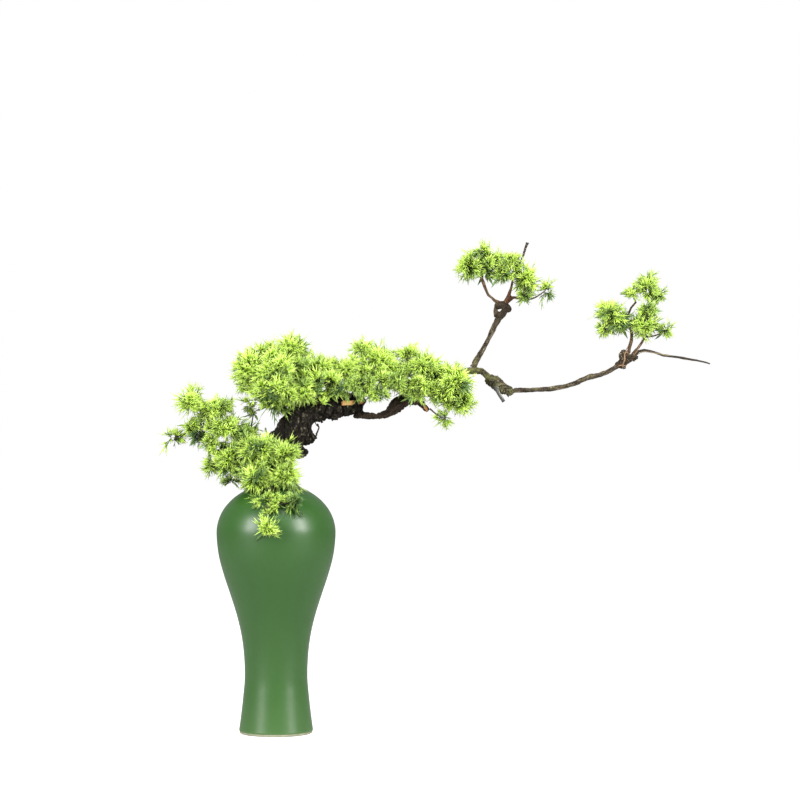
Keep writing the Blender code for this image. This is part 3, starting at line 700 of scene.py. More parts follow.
# ---- vase --------------------------------------------------------------------------
@dataclass
class Vase:
    """The glazed vase, the plaster in its foot and the foam in its neck."""

    sides: int = 160
    steps: int = 7
    corner: float = math.radians(24)
    bare_height: float = 0.0030
    bead: float = 0.0018
    step_in: float = 0.0007
    thin_reach: float = 0.006
    # Painted light: how much paler the lower body is painted, and how far up that fades.
    foot_painted_light: float = 0.5
    foot_painted_light_reach: float = 0.050
    crease: float = math.radians(50)

    def outline(self) -> list[tuple[float, float]]:
        """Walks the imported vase's outline.

        Returns:
            Its (radius, height) points, from the foot's edge over the lip to the floor.
        """
        mesh = frame["nodes"]["vase_body"].data
        keys = {}
        for vert in mesh.vertices:
            if abs(vert.co.y) < 1e-6 and vert.co.x > MM:
                keys[vert.index] = (round(vert.co.x, 6), round(vert.co.z, 6))
        nearby: dict[tuple[float, float], set[tuple[float, float]]] = {}
        for edge in mesh.edges:
            a, b = (keys.get(v) for v in edge.vertices)
            if a and b and a != b:
                nearby.setdefault(a, set()).add(b)
                nearby.setdefault(b, set()).add(a)
        spot = max((key for key in nearby if key[1] < 1e-6), key=lambda key: key[0])
        chain = [spot]
        while True:
            ahead = [key for key in nearby[spot] if key not in chain]
            if not ahead:
                return chain
            spot = min(ahead, key=lambda key: math.dist(key, chain[-1]))
            chain.append(spot)

    def fine_outline(self) -> list[tuple[float, float]]:
        """Rounds the outline between its corners.

        Returns:
            The fine outline, from the middle of the foot to the middle of the floor.
        """
        chain = self.outline()
        points = np.array(chain)
        spans = np.diff(points, axis=0)
        heading = np.arctan2(spans[:, 1], spans[:, 0])
        turns = np.abs((np.diff(heading) + math.pi) % (2 * math.pi) - math.pi)
        corners = [0, *(i + 1 for i, turn in enumerate(turns) if turn > self.corner),
                   len(points) - 1]
        fine = [(0.0, 0.0)]
        for a, b in zip(corners, corners[1:]):
            stretch = points[a:b + 1]
            line = smooth_line(stretch, self.steps if len(stretch) > 2 else 1)
            fine += [tuple(place) for place in line[:-1]]
        return self.rolled([*fine, chain[-1], (0.0, chain[-1][1])])

    def rolled(self, fine: list[tuple[float, float]]) -> list[tuple[float, float]]:
        """Rolls the glaze's lower edge and steps the bare clay in under it.

        Args:
            fine: the fine outline.

        Returns:
            The outline with the rolled edge.
        """
        lip = max(range(len(fine)), key=lambda i: fine[i][1])
        wall = [row for row in fine[1:lip] if row[1] >= 0]
        radii, heights = zip(*wall)
        foot = self.bare_height + self.bead
        levels = [0.0005, self.bare_height - 0.0002,
                  *(self.bare_height + self.bead * t for t in (0, 0.08, 0.25, 0.5, 0.75)),
                  foot]
        edge = [fine[0], (radii[0] - self.step_in - 0.0005, 0.0)]
        for level in levels:
            t = min(max((level - self.bare_height) / self.bead, 0), 1)
            sunk = self.step_in * (1 - math.sqrt(1 - (1 - t) ** 2))
            edge.append((float(np.interp(level, heights, radii)) - sunk, level))
        return edge + [row for i, row in enumerate(fine) if i >= lip or row[1] > foot]

    def build_body(self, effects: Effects) -> None:
        """Turns the vase and glazes it down to the bare foot edge.

        Args:
            effects: the shared shader groups.
        """
        outline = self.fine_outline()
        top = max(z for _, z in outline)
        bm = bmesh.new()
        thin = bm.verts.layers.float.new("thin")
        rings = []
        for r, z in outline:
            if r == 0:
                rings.append([bm.verts.new((0, 0, z))])
            else:
                turns = [FULL_TURN * i / self.sides for i in range(self.sides)]
                rings.append([bm.verts.new((r * math.cos(a), r * math.sin(a), z))
                              for a in turns])
            edge = min(abs(top - z), abs(z - self.bare_height))
            for vert in rings[-1]:
                # Thin glaze at the lip and the glaze edge is real; the paler lower body is
                # painted light.
                vert[thin] = max(math.exp(-edge / self.thin_reach * 2),
                                 self.foot_painted_light * math.exp(-z / self.foot_painted_light_reach))
        lip = max(range(len(outline)), key=lambda i: outline[i][1])
        for i, (low, high) in enumerate(zip(rings, rings[1:])):
            bare = i < lip and max(outline[i][1], outline[i + 1][1]) < self.bare_height
            for k in range(self.sides):
                j = (k + 1) % self.sides
                ring = [low[k % len(low)], low[j % len(low)], high[j % len(high)],
                        high[k % len(high)]]
                face = bm.faces.new(list(dict.fromkeys(ring)))
                face.material_index = int(bare)
                face.smooth = True
        bmesh.ops.recalc_face_normals(bm, faces=bm.faces[:])
        mesh = bpy.data.meshes.new("vase_glazed")
        bm.to_mesh(mesh)
        bm.free()
        mesh.set_sharp_from_angle(angle=self.crease)
        object_from("vase_glazed", mesh, "vase_body",
                    [Glaze().material(effects), BARE_CLAY.material(effects)])

    def dress_inside(self, effects: Effects) -> None:
        """Gives the plaster and the foam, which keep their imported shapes, their stuff.

        Args:
            effects: the shared shader groups.
        """
        for node, stuff in (("ballast", PLASTER), ("foam_bung", FOAM)):
            mesh = frame["nodes"][node].data
            mesh.materials.clear()
            mesh.materials.append(stuff.material(effects))


# ---- wood --------------------------------------------------------------------------
# How the ridges and the crags are mixed: sizes are noise scales, lifts are shares of the
# crag's height and tones are shares of the way from cleft to ridge. The tones follow the
# lifts, as painted shade on sunk wood and painted light on raised wood.
RIDGE_MIDDLE = 0.45
FOLD_SIZE = 0.5
FOLD_LIFT = 0.5
RIDGE_TONE = 0.9
TWIST = 0.35
CRAG_LENGTHENED = 0.62
PLATE_EDGE = 2.4
CHUNK_SIZE, ROUGH_SIZE, FINE_SIZE = 0.45, 3.1, 6.3
BASE_LIFT, PLATE_LIFT, CHUNK_LIFT, ROUGH_LIFT, FINE_LIFT = 0.55, 0.8, 0.8, 0.60, 0.27
BASE_TONE, PLATE_TONE, CHUNK_TONE, ROUGH_TONE, FINE_TONE = -0.06, 0.46, 0.28, 0.50, 1.1
DENT_RAGGED = 0.45
ROOT_STEP = 0.4
LEAST_ROOT = 1.5 * MM
STRAND_SIDES = 8
STRAND_LIGHT = 0.75
LOOP_STEPS = 8
CUT_SIDES = 40
CUT_WAVE = 0.42
CUT_WAVE_SIZE = 1.8
CUT_PROUD = 0.4 * MM
CUT_RINGS = ((0.0, 0.0), (0.35, 0.0), (0.7, 0.0), (0.92, 0.0001), (1.0, 0.0006),
             (1.06, 0.0030))


@dataclass
class Pith:
    """The line up the middle of a wooden piece, from its own skin."""

    centres: np.ndarray
    travel: np.ndarray
    reach: np.ndarray
    axis: np.ndarray
    origin: np.ndarray

    @classmethod
    def of(cls, skin: np.ndarray, step: float) -> Pith:
        """Finds the pith.

        Args:
            skin: points over the piece's skin, one a row.
            step: the spacing of the pith's places.

        Returns:
            The pith.
        """
        origin = skin.mean(0)
        axis = np.linalg.svd(skin - origin, full_matrices=False)[2][0]
        travel = (skin - origin) @ axis
        count = max(4, int(np.ptp(travel) / step))
        edges = np.linspace(travel.min(), travel.max(), count + 1)
        which = np.clip(np.digitize(travel, edges) - 1, 0, count - 1)
        full = [i for i in range(count) if (which == i).sum() > 3]
        centres = np.array([skin[which == i].mean(0) for i in full])
        for _ in range(2):
            centres[1:-1] = (centres[:-2] + 2 * centres[1:-1] + centres[2:]) / 4
        reach = np.array([np.linalg.norm(skin[which == i] - skin[which == i].mean(0),
                                         axis=1).mean() for i in full])
        middles = (edges[:-1] + edges[1:])[full] / 2
        return cls(centres, middles, reach, axis, origin)

    def frame_at(self, travel: np.ndarray
                 ) -> tuple[np.ndarray, np.ndarray, np.ndarray, np.ndarray]:
        """Gives the pith's place, heading, length so far and reach.

        Args:
            travel: places along the piece's long axis.

        Returns:
            The centres, the headings, the lengths and the mean radii.
        """
        heading = np.gradient(self.centres, axis=0)
        heading /= np.linalg.norm(heading, axis=1)[:, None]
        length = np.concatenate([[0], np.cumsum(np.linalg.norm(
            np.diff(self.centres, axis=0), axis=1))])
        at = [np.interp(travel, self.travel, column)
              for column in (*self.centres.T, *heading.T, length, self.reach)]
        return np.stack(at[:3], 1), np.stack(at[3:6], 1), at[6], at[7]

    def around(self, points: np.ndarray) -> tuple[np.ndarray, np.ndarray, np.ndarray]:
        """Gives points' places about the pith.

        Args:
            points: the points, one a row.

        Returns:
            Their turn about the pith, their length along it and its mean radius there.
        """
        centre, heading, length, reach = self.frame_at((points - self.origin) @ self.axis)
        out = points - centre
        length = length + (out * heading).sum(1)
        deep = np.array([0.0, 1.0, 0.0])
        side = np.cross(heading, deep)
        side /= np.linalg.norm(side, axis=1)[:, None] + 1e-12
        return np.arctan2(out @ deep, (out * side).sum(1)), length, reach


@dataclass(frozen=True)
class Strand:
    """A vine or wire-thin root that winds over a wooden piece."""

    start: float
    end: float
    turns: float
    phase: float
    thick: float
    sink: float = 0.15


@dataclass(frozen=True)
class Loop:
    """A strand through given places, which are shares of the piece's packed box."""

    places: tuple[Point, ...]
    thick: float


@dataclass(frozen=True)
class Cut:
    """A sawn or chipped face let into a wooden piece, seen from the front."""

    x: float
    z: float
    wide: float
    tall: float
    tilt: float = 0.0
    red: bool = False


@dataclass(frozen=True)
class Dent:
    """A bay in a piece's outline, seen from the front: its middle as shares of the
    piece's box and its radius."""

    x: float
    z: float
    wide: float


@dataclass
class WoodPart:
    """One wooden piece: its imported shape, remade finely and carved."""

    node: str
    skin: WoodSkin
    slot: Slot
    grain: float
    ridge_count: float
    ridge_depth: float
    crag: float = 0.0
    crag_size: float = 0.006
    # Share of the crag's painted shade and light in the tone.
    crag_shading: float = 1.0
    stretch: float = 0.18
    easing: int = 6
    swell: float = 0.12 * MM
    root: str = ""
    strands: tuple[Strand, ...] = ()
    loops: tuple[Loop, ...] = ()
    strand_skin: WoodSkin | None = None
    cuts: tuple[Cut, ...] = ()
    dents: tuple[Dent, ...] = ()
    pith_step: float = 0.004
    seed: float = 0.0

    def reach_root(self, bm: bmesh.types.BMesh) -> None:
        """Lengthens the piece's root end until it stands in the wood it grows from.

        Args:
            bm: the piece's bmesh, which takes the lengthening.
        """
        theirs = frame["nodes"][self.root].data
        tree = BVHTree.FromPolygons([v.co for v in theirs.vertices],
                                    [p.vertices for p in theirs.polygons])
        own = [vert.co.copy() for vert in bm.verts]
        near = [tree.find_nearest(spot) for spot in own]
        best = min(range(len(own)), key=lambda i: near[i][3])
        spot, normal = near[best][0], near[best][1]
        by_gap = sorted(own, key=lambda place: (place - own[best]).length)
        ring = [place for place in by_gap if (place - by_gap[0]).length
                < 2.4 * self.grain * 10]
        middle = sum(ring, Vector()) / len(ring)
        gaps = sorted((place - middle).length for place in ring)
        radius = max(gaps[len(gaps) // 2] * 0.8, self.grain * 2.5)
        target = spot - normal * max(radius, LEAST_ROOT)
        steps = max(2, int((target - middle).length / (radius * ROOT_STEP)) + 1)
        for i in range(steps + 1):
            ball = bmesh.ops.create_icosphere(bm, subdivisions=2, radius=radius)
            bmesh.ops.translate(bm, verts=ball["verts"],
                                vec=middle.lerp(target, i / steps))

    def shape(self) -> bpy.types.Mesh:
        """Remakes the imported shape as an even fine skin.

        Returns:
            The mesh.
        """
        bm = bmesh.new()
        bm.from_mesh(frame["nodes"][self.node].data)
        bmesh.ops.remove_doubles(bm, verts=bm.verts[:], dist=1e-6)
        if self.root:
            self.reach_root(bm)
        self.add_loops(bm)
        rough = bpy.data.meshes.new(self.node + "_rough")
        bm.to_mesh(rough)
        bm.free()
        block = bpy.data.objects.new(self.node + "_rough", rough)
        bpy.context.scene.collection.objects.link(block)
        remesh = block.modifiers.new("even", "REMESH")
        remesh.mode = "VOXEL"
        remesh.voxel_size = self.grain
        ease = block.modifiers.new("ease", "SMOOTH")
        ease.factor = 0.5
        ease.iterations = self.easing
        graph = bpy.context.evaluated_depsgraph_get()
        mesh = bpy.data.meshes.new_from_object(block.evaluated_get(graph))
        bpy.data.objects.remove(block)
        bpy.data.meshes.remove(rough)
        mesh.name = self.node + "_carved"
        return mesh

    def carve(self, mesh: bpy.types.Mesh) -> tuple[Pith, BVHTree]:
        """Carves ridges and crags into the skin, and notes how light each point is painted:
        darker where it is sunk, as painted shade, and paler where it stands proud, as painted
        light.

        Args:
            mesh: the fine skin.

        Returns:
            The piece's pith and a search tree of its carved skin.
        """
        count = len(mesh.vertices)
        points = np.empty(count * 3, np.float32)
        outward = np.empty(count * 3, np.float32)
        mesh.vertices.foreach_get("co", points)
        mesh.vertices.foreach_get("normal", outward)
        points = points.reshape(-1, 3).astype(float)
        outward = outward.reshape(-1, 3).astype(float)
        pith = Pith.of(points, self.pith_step)
        turn, length, reach = pith.around(points)
        ring = self.ridge_count / 6
        grain = np.stack([np.cos(turn) * reach, np.sin(turn) * reach, length], 1)
        lift = np.empty(count)
        light = np.empty(count)
        for i in range(count):
            along = length[i] / reach.mean() * self.stretch * ring
            twist = turn[i] + along * TWIST
            spot = Vector((math.cos(twist) * ring + self.seed, math.sin(twist) * ring,
                           along))
            ridge = noise.turbulence(spot, 3, False, noise_basis="PERLIN_ORIGINAL")
            fold = noise.noise(spot * FOLD_SIZE)
            height = self.ridge_depth * (ridge - RIDGE_MIDDLE + FOLD_LIFT * fold)
            # Painted shade and light: the tone follows the ridge's lift.
            glow = 0.5 + (ridge - RIDGE_MIDDLE) * RIDGE_TONE
            if self.crag:
                at = Vector(points[i]) / self.crag_size
                at.z *= CRAG_LENGTHENED
                near, far = noise.voronoi(at + Vector((self.seed, 3.1, 0)))[0][:2]
                plate = min(max((far - near) * PLATE_EDGE, 0), 1)
                chunk = noise.noise(at * CHUNK_SIZE)
                rough = noise.noise(at * ROUGH_SIZE)
                fine = noise.noise(at * FINE_SIZE)
                height += self.crag * (PLATE_LIFT * plate - BASE_LIFT + CHUNK_LIFT * chunk
                                       + ROUGH_LIFT * rough + FINE_LIFT * fine)
                # The crag's tone follows the same noises as its lift: painted shade in the
                # hollows and painted light on the plates.
                crag_shading = (BASE_TONE + PLATE_TONE * plate + ROUGH_TONE * rough
                          + FINE_TONE * fine + CHUNK_TONE * chunk)
                glow += (crag_shading - glow) * self.crag_shading
            lift[i] = height + self.swell
            light[i] = min(max(glow, 0), 1)
        points += outward * lift[:, None]
        low, high = (np.array(corner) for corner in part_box(self.node))
        for dent in self.dents:
            flat = points - low - (high - low) * np.array([dent.x, 0.5, dent.z])
            flat[:, 1] = 0
            gap = np.maximum(np.linalg.norm(flat, axis=1), 1e-5)
            push = np.maximum(dent.wide * (1 + DENT_RAGGED * (light - 0.5)) - gap, 0)
            points += flat / gap[:, None] * push[:, None]
        mesh.vertices.foreach_set("co", points.astype(np.float32).ravel())
        for name, kind, key, values in (("grain", "FLOAT_VECTOR", "vector", grain),
                                        ("height", "FLOAT", "value", light)):
            layer = mesh.attributes.new(name, kind, "POINT")
            layer.data.foreach_set(key, values.astype(np.float32).ravel())
        mesh.update()
        tree = BVHTree.FromPolygons([Vector(p) for p in points],
                                    [p.vertices for p in mesh.polygons])
        return pith, tree

    def wind(self, bm: bmesh.types.BMesh, pith: Pith, tree: BVHTree) -> None:
        """Winds the strands over the carved skin.

        Args:
            bm: the bmesh that takes them.
            pith: the piece's pith.
            tree: a search tree of the carved skin.
        """
        low, high = pith.travel[0], pith.travel[-1]
        for number, strand in enumerate(self.strands):
            steps = max(10, int(abs(strand.turns) * 18) + 8)
            share = np.linspace(0, 1, steps)
            travel = low + (high - low) * (strand.start
                                           + (strand.end - strand.start) * share)
            centre, heading, _, reach = pith.frame_at(travel)
            line = []
            for i in range(steps):
                wobble = noise.noise(Vector((share[i] * 4, number * 7.3, self.seed)))
                turn = FULL_TURN * (strand.turns * share[i] + strand.phase) + wobble
                deep = Vector((0, 1, 0))
                side = Vector(heading[i]).cross(deep).normalized()
                out = side * math.cos(turn) + deep * math.sin(turn)
                far = Vector(centre[i]) + out * reach[i] * 4
                hit = tree.ray_cast(far, -out)[0]
                spot = hit if hit else Vector(centre[i]) + out * reach[i]
                line.append(spot + out * strand.thick * (1 - strand.sink * 4))
            line = np.array(line)
            for _ in range(2):
                line[1:-1] = (line[:-2] + 2 * line[1:-1] + line[2:]) / 4
            radii = strand.thick * (0.45 + 0.55 * np.sin(share * math.pi) ** 0.4)
            fine = smooth_line(np.column_stack([line, radii]), 3)
            add_tube(bm, fine[:, :3], fine[:, 3], STRAND_SIDES, 1, STRAND_LIGHT)

    def add_loops(self, bm: bmesh.types.BMesh) -> None:
        """Adds the strands that stand clear of the piece.

        Args:
            bm: the piece's bmesh before its skin is evened, which takes them.
        """
        low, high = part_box(self.node)
        size = high - low
        for loop in self.loops:
            places = [[low[i] + size[i] * place[i] for i in range(3)]
                      for place in loop.places]
            for x, y, z in smooth_line(np.array(places), LOOP_STEPS):
                ball = bmesh.ops.create_icosphere(bm, subdivisions=2, radius=loop.thick)
                bmesh.ops.translate(bm, verts=ball["verts"], vec=(x, y, z))

    def let_in(self, bm: bmesh.types.BMesh, tree: BVHTree) -> None:
        """Lets the cut faces into the front of the piece.

        Args:
            bm: the bmesh that takes them.
            tree: a search tree of the carved skin.
        """
        low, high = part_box(self.node)
        size = high - low
        grain = bm.verts.layers.float_vector.get("grain")
        light = bm.verts.layers.float.get("height")
        for cut in self.cuts:
            x = low.x + size.x * cut.x
            z = low.z + size.z * cut.z
            hits = []
            for dx, dz in ((0, 0), (-0.5, 0), (0.5, 0), (0, 0.4), (0, -0.4)):
                start = Vector((x + dx * cut.wide, low.y - 0.05, z + dz * cut.tall))
                hit = tree.ray_cast(start, Vector((0, 1, 0)))[0]
                if hit:
                    hits.append(hit.y)
            y = (min(hits) if hits else low.y) - CUT_PROUD
            rings = []
            sides = CUT_SIDES
            for reach, sink in CUT_RINGS:
                ring = []
                for k in range(1 if reach == 0 else sides):
                    turn = FULL_TURN * k / sides
                    wave = 1 + CUT_WAVE * noise.noise(Vector((
                        math.cos(turn) * CUT_WAVE_SIZE, math.sin(turn) * CUT_WAVE_SIZE,
                        cut.x * 9)))
                    flat = Vector((math.cos(turn) * cut.wide * reach * wave, sink,
                                   math.sin(turn) * cut.tall * reach * wave))
                    tilted = Vector((flat.x * math.cos(cut.tilt) - flat.z * math.sin(cut.tilt),
                                     flat.y,
                                     flat.x * math.sin(cut.tilt) + flat.z * math.cos(cut.tilt)))
                    vert = bm.verts.new(Vector((x, y, z)) + tilted)
                    vert[grain] = flat
                    vert[light] = min(max((reach - 0.86) * 6, 0), 1)
                    ring.append(vert)
                rings.append(ring)
            for low_ring, high_ring in zip(rings, rings[1:]):
                for k in range(sides):
                    j = (k + 1) % sides
                    corner = [low_ring[k % len(low_ring)], high_ring[k], high_ring[j],
                              low_ring[j % len(low_ring)]]
                    face = bm.faces.new(list(dict.fromkeys(corner)))
                    face.material_index = 3 if cut.red else 2
                    face.smooth = True

    def build(self, effects: Effects, skins: dict[str, bpy.types.Material]) -> None:
        """Builds the piece and sets it on its body.

        Args:
            effects: the shared shader groups.
            skins: the wood materials made so far, by name.
        """
        mesh = self.shape()
        pith, tree = self.carve(mesh)
        if self.strands or self.cuts:
            bm = bmesh.new()
            bm.from_mesh(mesh)
            self.wind(bm, pith, tree)
            self.let_in(bm, tree)
            bm.to_mesh(mesh)
            bm.free()
        mesh.shade_smooth()
        used = [self.skin, self.strand_skin or self.skin]
        if self.cuts:
            used += [SAWN, CHIPPED]
        for skin in used:
            if skin.name not in skins:
                skins[skin.name] = skin.material(effects)
        object_from(self.node + "_carved", mesh, self.node,
                    [skins[skin.name] for skin in used])


# ---- needle sprays -----------------------------------------------------------------
@dataclass(frozen=True)
class Tuft:
    """A ball of sprigs: its middle and half sizes as shares of its spray's box, how
    full it is and how deep its dye is, with painted shade for clumps that lie in shade."""

    x: float
    y: float
    z: float
    wide: float
    tall: float
    full: float
    dye_and_shade: float


# Each spray's clumps in millimetres from the foot of the vase: across, (depth,) up, half
# width, half height, then how full and how deeply dyed, the dye partly painted shade for
# clumps that lie in shade, such as the collar under the crown. One without a depth is layered.
CLUMPS: dict[str, tuple[tuple[float, ...], ...]] = {
    "spray_tip_right": ((432, 480, 17, 14, 0.9, 0.25), (438, 497, 12, 9, 0.8, 0.3),
        (458, 473, 10, 9, 0.5, 0.2)),
    "spray_tip_peak": ((437, 525, 13, 17, 0.9, 0.32), (419, 517, 9, 9, 0.6, 0.2),
        (451, 514, 9, 8, 0.5, 0.2)),
    "spray_tip_left": ((393, 493, 17, 14, 0.8, 0.28), (386, 475, 12, 9, 0.5, 0.2),
        (405, 482, 12, 11, 0.9, 0.75)),
    "spray_top_far": ((318, 521, 11, 12, 0.7, 0.2),),
    "spray_top_right": ((293, 535, 15, 14, 0.9, 0.3), (292, 515, 9, 10, 0.6, 0.4)),
    "spray_top_peak": ((247, 553, 13, 11, 0.8, 0.3), (243, 566, 12, 11, 0.8, 0.1)),
    "spray_top_left": ((228, 549, 16, 13, 0.9, 0.25),),
    "spray_top_mid": ((246, 542, 9, 7, 0.5, 0.8), (260, 555, 12, 9, 0.9, 0.35),
        (276, 555, 11, 9, 0.8, 0.2), (266, 539, 13, 9, 0.8, 0.75),
        (283, -1, 551, 9, 8, 0.8, 0.1), (275, -3, 541, 11, 9, 0.8, 0.2),
        (268, -2, 549, 11, 9, 0.8, 0.15)),
    "spray_droop": ((-7, 243, 13, 15, 0.9, 0), (-6, -66, 262, 8, 10, 0.7, 0.3)),
    "spray_arm_wisp": ((-120, 347, 17, 12, 0.5, 0.1), (-100, 360, 12, 10, 1, 0.3),
        (-92, 349, 9, 9, 0.8, 0.9)),
    "spray_arm_mid": ((-70, 382, 22, 11, 1, 0), (-56, 386, 8, 7, 0.7, 0),
        (-62, 358, 24, 14, 1, 0.05), (-84, -6, 372, 12, 11, 0.9, 0.2),
        (-76, -10, 342, 12, 11, 0.8, 0.3), (-42, -18, 362, 12, 9, 0.7, 0.4)),
    "spray_arm_tip": ((-100, 390, 13, 16, 1, 0),),
    "spray_end_droop": ((198, 370, 12, 11, 0.8, 0.1),),
    "spray_end_low": ((215, 389, 22, 13, 0.9, 0.05), (190, 397, 12, 10, 0.8, 0.3),
        (182, -10, 404, 15, 11, 0.9, 0.2)),
    "spray_end": ((210, 415, 20, 15, 1, 0), (200, -12, 402, 14, 13, 1, 0.1)),
    "spray_bough_right": ((175, 430, 20, 13, 1, 0), (190, -4, 420, 14, 13, 1, 0.1),
        (178, 8, 416, 14, 12, 1, 0.2)),
    "spray_bough_peak_right": ((155, 445, 12, 11, 0.9, 0),),
    "spray_bough_mid": ((165, 410, 22, 12, 1, 0.25), (142, 412, 12, 12, 0.8, 0.5),
        (162, 397, 10, 7, 0.6, 0.2), (152, -6, 424, 14, 13, 1, 0.1),
        (146, -18, 408, 12, 12, 0.9, 0.4), (165, -16, 402, 14, 10, 0.9, 0.15)),
    "spray_bough_front": ((100, 410, 24, 12, 1, 0.6), (122, 398, 16, 9, 0.8, 0.1),
        (92, -22, 404, 15, 11, 0.9, 0.6), (108, -20, 402, 14, 10, 0.9, 0.5),
        (122, -16, 415, 14, 13, 0.9, 0.1)),
    "spray_bough_top": ((122, 438, 19, 15, 1, 0), (128, -4, 432, 15, 13, 1, 0),
        (140, -2, 428, 14, 13, 1, 0.1)),
    "spray_bough_peak": ((102, 450, 16, 11, 0.9, 0),),
    "spray_bough_left": ((85, 427, 20, 14, 1, 0), (78, -22, 408, 14, 12, 0.9, 0.3),
        (104, -14, 424, 15, 14, 1, 0.1)),
    "spray_loose": ((-33, 388, 9, 14, 0.8, 0.05), (-27, 376, 8, 8, 0.4, 0.3)),
    "spray_crown_right": ((33, 405, 18, 16, 1, 0.15), (50, 428, 20, 13, 1, 0.1),
        (33, -27, 402, 17, 15, 0.9, 0.1), (48, -24, 410, 15, 14, 0.9, 0.15),
        (64, -20, 414, 15, 14, 0.9, 0.1), (66, 2, 428, 14, 14, 1, 0.1),
        (64, -26, 398, 9, 8, 0.5, 0.3), (53, -27, 389, 12, 9, 0.35, 0),
        (30, -16, 430, 16, 14, 0.9, 0.1)),
    "spray_crown_low": ((2, 390, 24, 14, 1, 0.25),),
    "spray_crown_back": (),
    "spray_crown_mid": ((5, 420, 26, 20, 1, 0.1), (2, -30, 404, 18, 16, 0.9, 0.1),
        (18, -32, 396, 15, 13, 0.9, 0.15), (-14, -24, 404, 16, 16, 0.9, 0.15),
        (10, -26, 430, 16, 15, 0.9, 0.1), (-16, -26, 418, 14, 14, 0.9, 0.1)),
    "spray_crown_top": ((20, 450, 18, 14, 0.9, 0), (14, -8, 448, 15, 13, 0.9, 0.1)),
    "spray_crown_top_left": ((-14, 448, 19, 12, 0.75, 0), (-4, -20, 442, 14, 12, 0.9, 0.1)),
    "spray_crown_left": ((-30, 428, 19, 23, 0.75, 0), (-34, -6, 412, 13, 14, 0.9, 0.1)),
    "spray_back_low": (),
    "spray_neck_front": ((-8, 277, 20, 11, 0.8, 0.3), (24, 276, 14, 13, 0.75, 0.6),
        (4, -62, 272, 12, 10, 0.8, 0.15)),
    "spray_front_right": ((12, 303, 16, 18, 1, 0.3), (12, 330, 18, 12, 0.9, 0.2),
        (-2, -36, 316, 15, 14, 0.9, 0.15), (0, -34, 296, 15, 13, 0.9, 0.3)),
    "spray_front_left": ((-18, 333, 24, 17, 1, 0.32), (-22, 300, 22, 15, 1, 0.35),
        (-14, -30, 320, 16, 14, 0.9, 0.2), (-4, -34, 338, 14, 12, 0.8, 0.2),
        (-34, -20, 308, 14, 12, 0.9, 0.45)),
    "spray_left_low": ((-53, 296, 14, 9, 0.8, 0.6),),
    "spray_left_wisp": ((-76, 314, 12, 12, 0.6, 0.1),),
    "spray_collar_left": ((-33, 352, 16, 10, 0.9, 0.5), (-55, 320, 16, 20, 1, 0.25),
        (-42, 335, 12, 10, 1, 0.45), (-40, -12, 348, 15, 12, 0.9, 0.2),
        (-66, -8, 336, 12, 11, 0.8, 0.2)),
}

# A clump is one layer in a shallow spray. It is two layers once the spray is more than
# TWO_DEEP reaches and ROOM_FOR_TWO millimetres deep, and three past THREE_DEEP reaches.
# The outer layers stand EDGE_OF_TWO or EDGE_OF_THREE reaches in from the spray's faces.
TWO_DEEP = 1.5
ROOM_FOR_TWO = 8.0
THREE_DEEP = 3.0
EDGE_OF_TWO = 0.75
EDGE_OF_THREE = 0.8
MIDDLE = 0.5
BOX_DIGITS = 1
SHARE_DIGITS = 2
REAR_WIDE, REAR_TALL, REAR_FULL, REAR_DYE_AND_SHADE = 0.36, 0.34, 1, 0.15
REAR_TUFTS = tuple(Tuft(*place, REAR_WIDE, REAR_TALL, REAR_FULL, REAR_DYE_AND_SHADE) for place in (
    (0.3, 0.4, 0.3), (0.7, 0.45, 0.35), (0.45, 0.5, 0.7), (0.7, 0.55, 0.7), (0.3, 0.6, 0.6)))


def layers(depth: float, reach: float) -> list[float]:
    """Spreads a clump's copies evenly through its spray.

    Args:
        depth: the spray's depth.
        reach: how far a copy reaches each way.

    Returns:
        The copies' places as shares of the depth.
    """
    if depth <= TWO_DEEP * reach + ROOM_FOR_TWO:
        return [MIDDLE]
    if depth <= THREE_DEEP * reach:
        edge = reach * EDGE_OF_TWO / depth
        return [edge, 1 - edge]
    edge = reach * EDGE_OF_THREE / depth
    return [edge, MIDDLE, 1 - edge]


def tufts_of(name: str) -> tuple[Tuft, ...]:
    """Turns a spray's clumps into tufts that keep their places in its packed box.

    Args:
        name: the spray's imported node.

    Returns:
        Its tufts. A spray without clumps of its own stands at the back.
    """
    if not CLUMPS[name]:
        return REAR_TUFTS
    low, high = ([round(value / MM, BOX_DIGITS) for value in corner]
                 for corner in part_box(name))
    span = [top - bottom for bottom, top in zip(low, high)]
    tufts = []
    for *place, wide, tall, full, dye_and_shade in CLUMPS[name]:
        across, up = (place[0] - low[0]) / span[0], (place[-1] - low[2]) / span[2]
        if len(place) == 3:
            depths = [(place[1] - low[1]) / span[1]]
        else:
            depths = layers(span[1], (wide + tall) / 2)
        for deep in depths:
            shares = (across, deep, up, wide / span[0], tall / span[2])
            tufts.append(Tuft(*(round(share, SHARE_DIGITS) for share in shares), full, dye_and_shade))
    return tuple(tufts)


SPRAYS = {name: tufts_of(name) for name in CLUMPS}


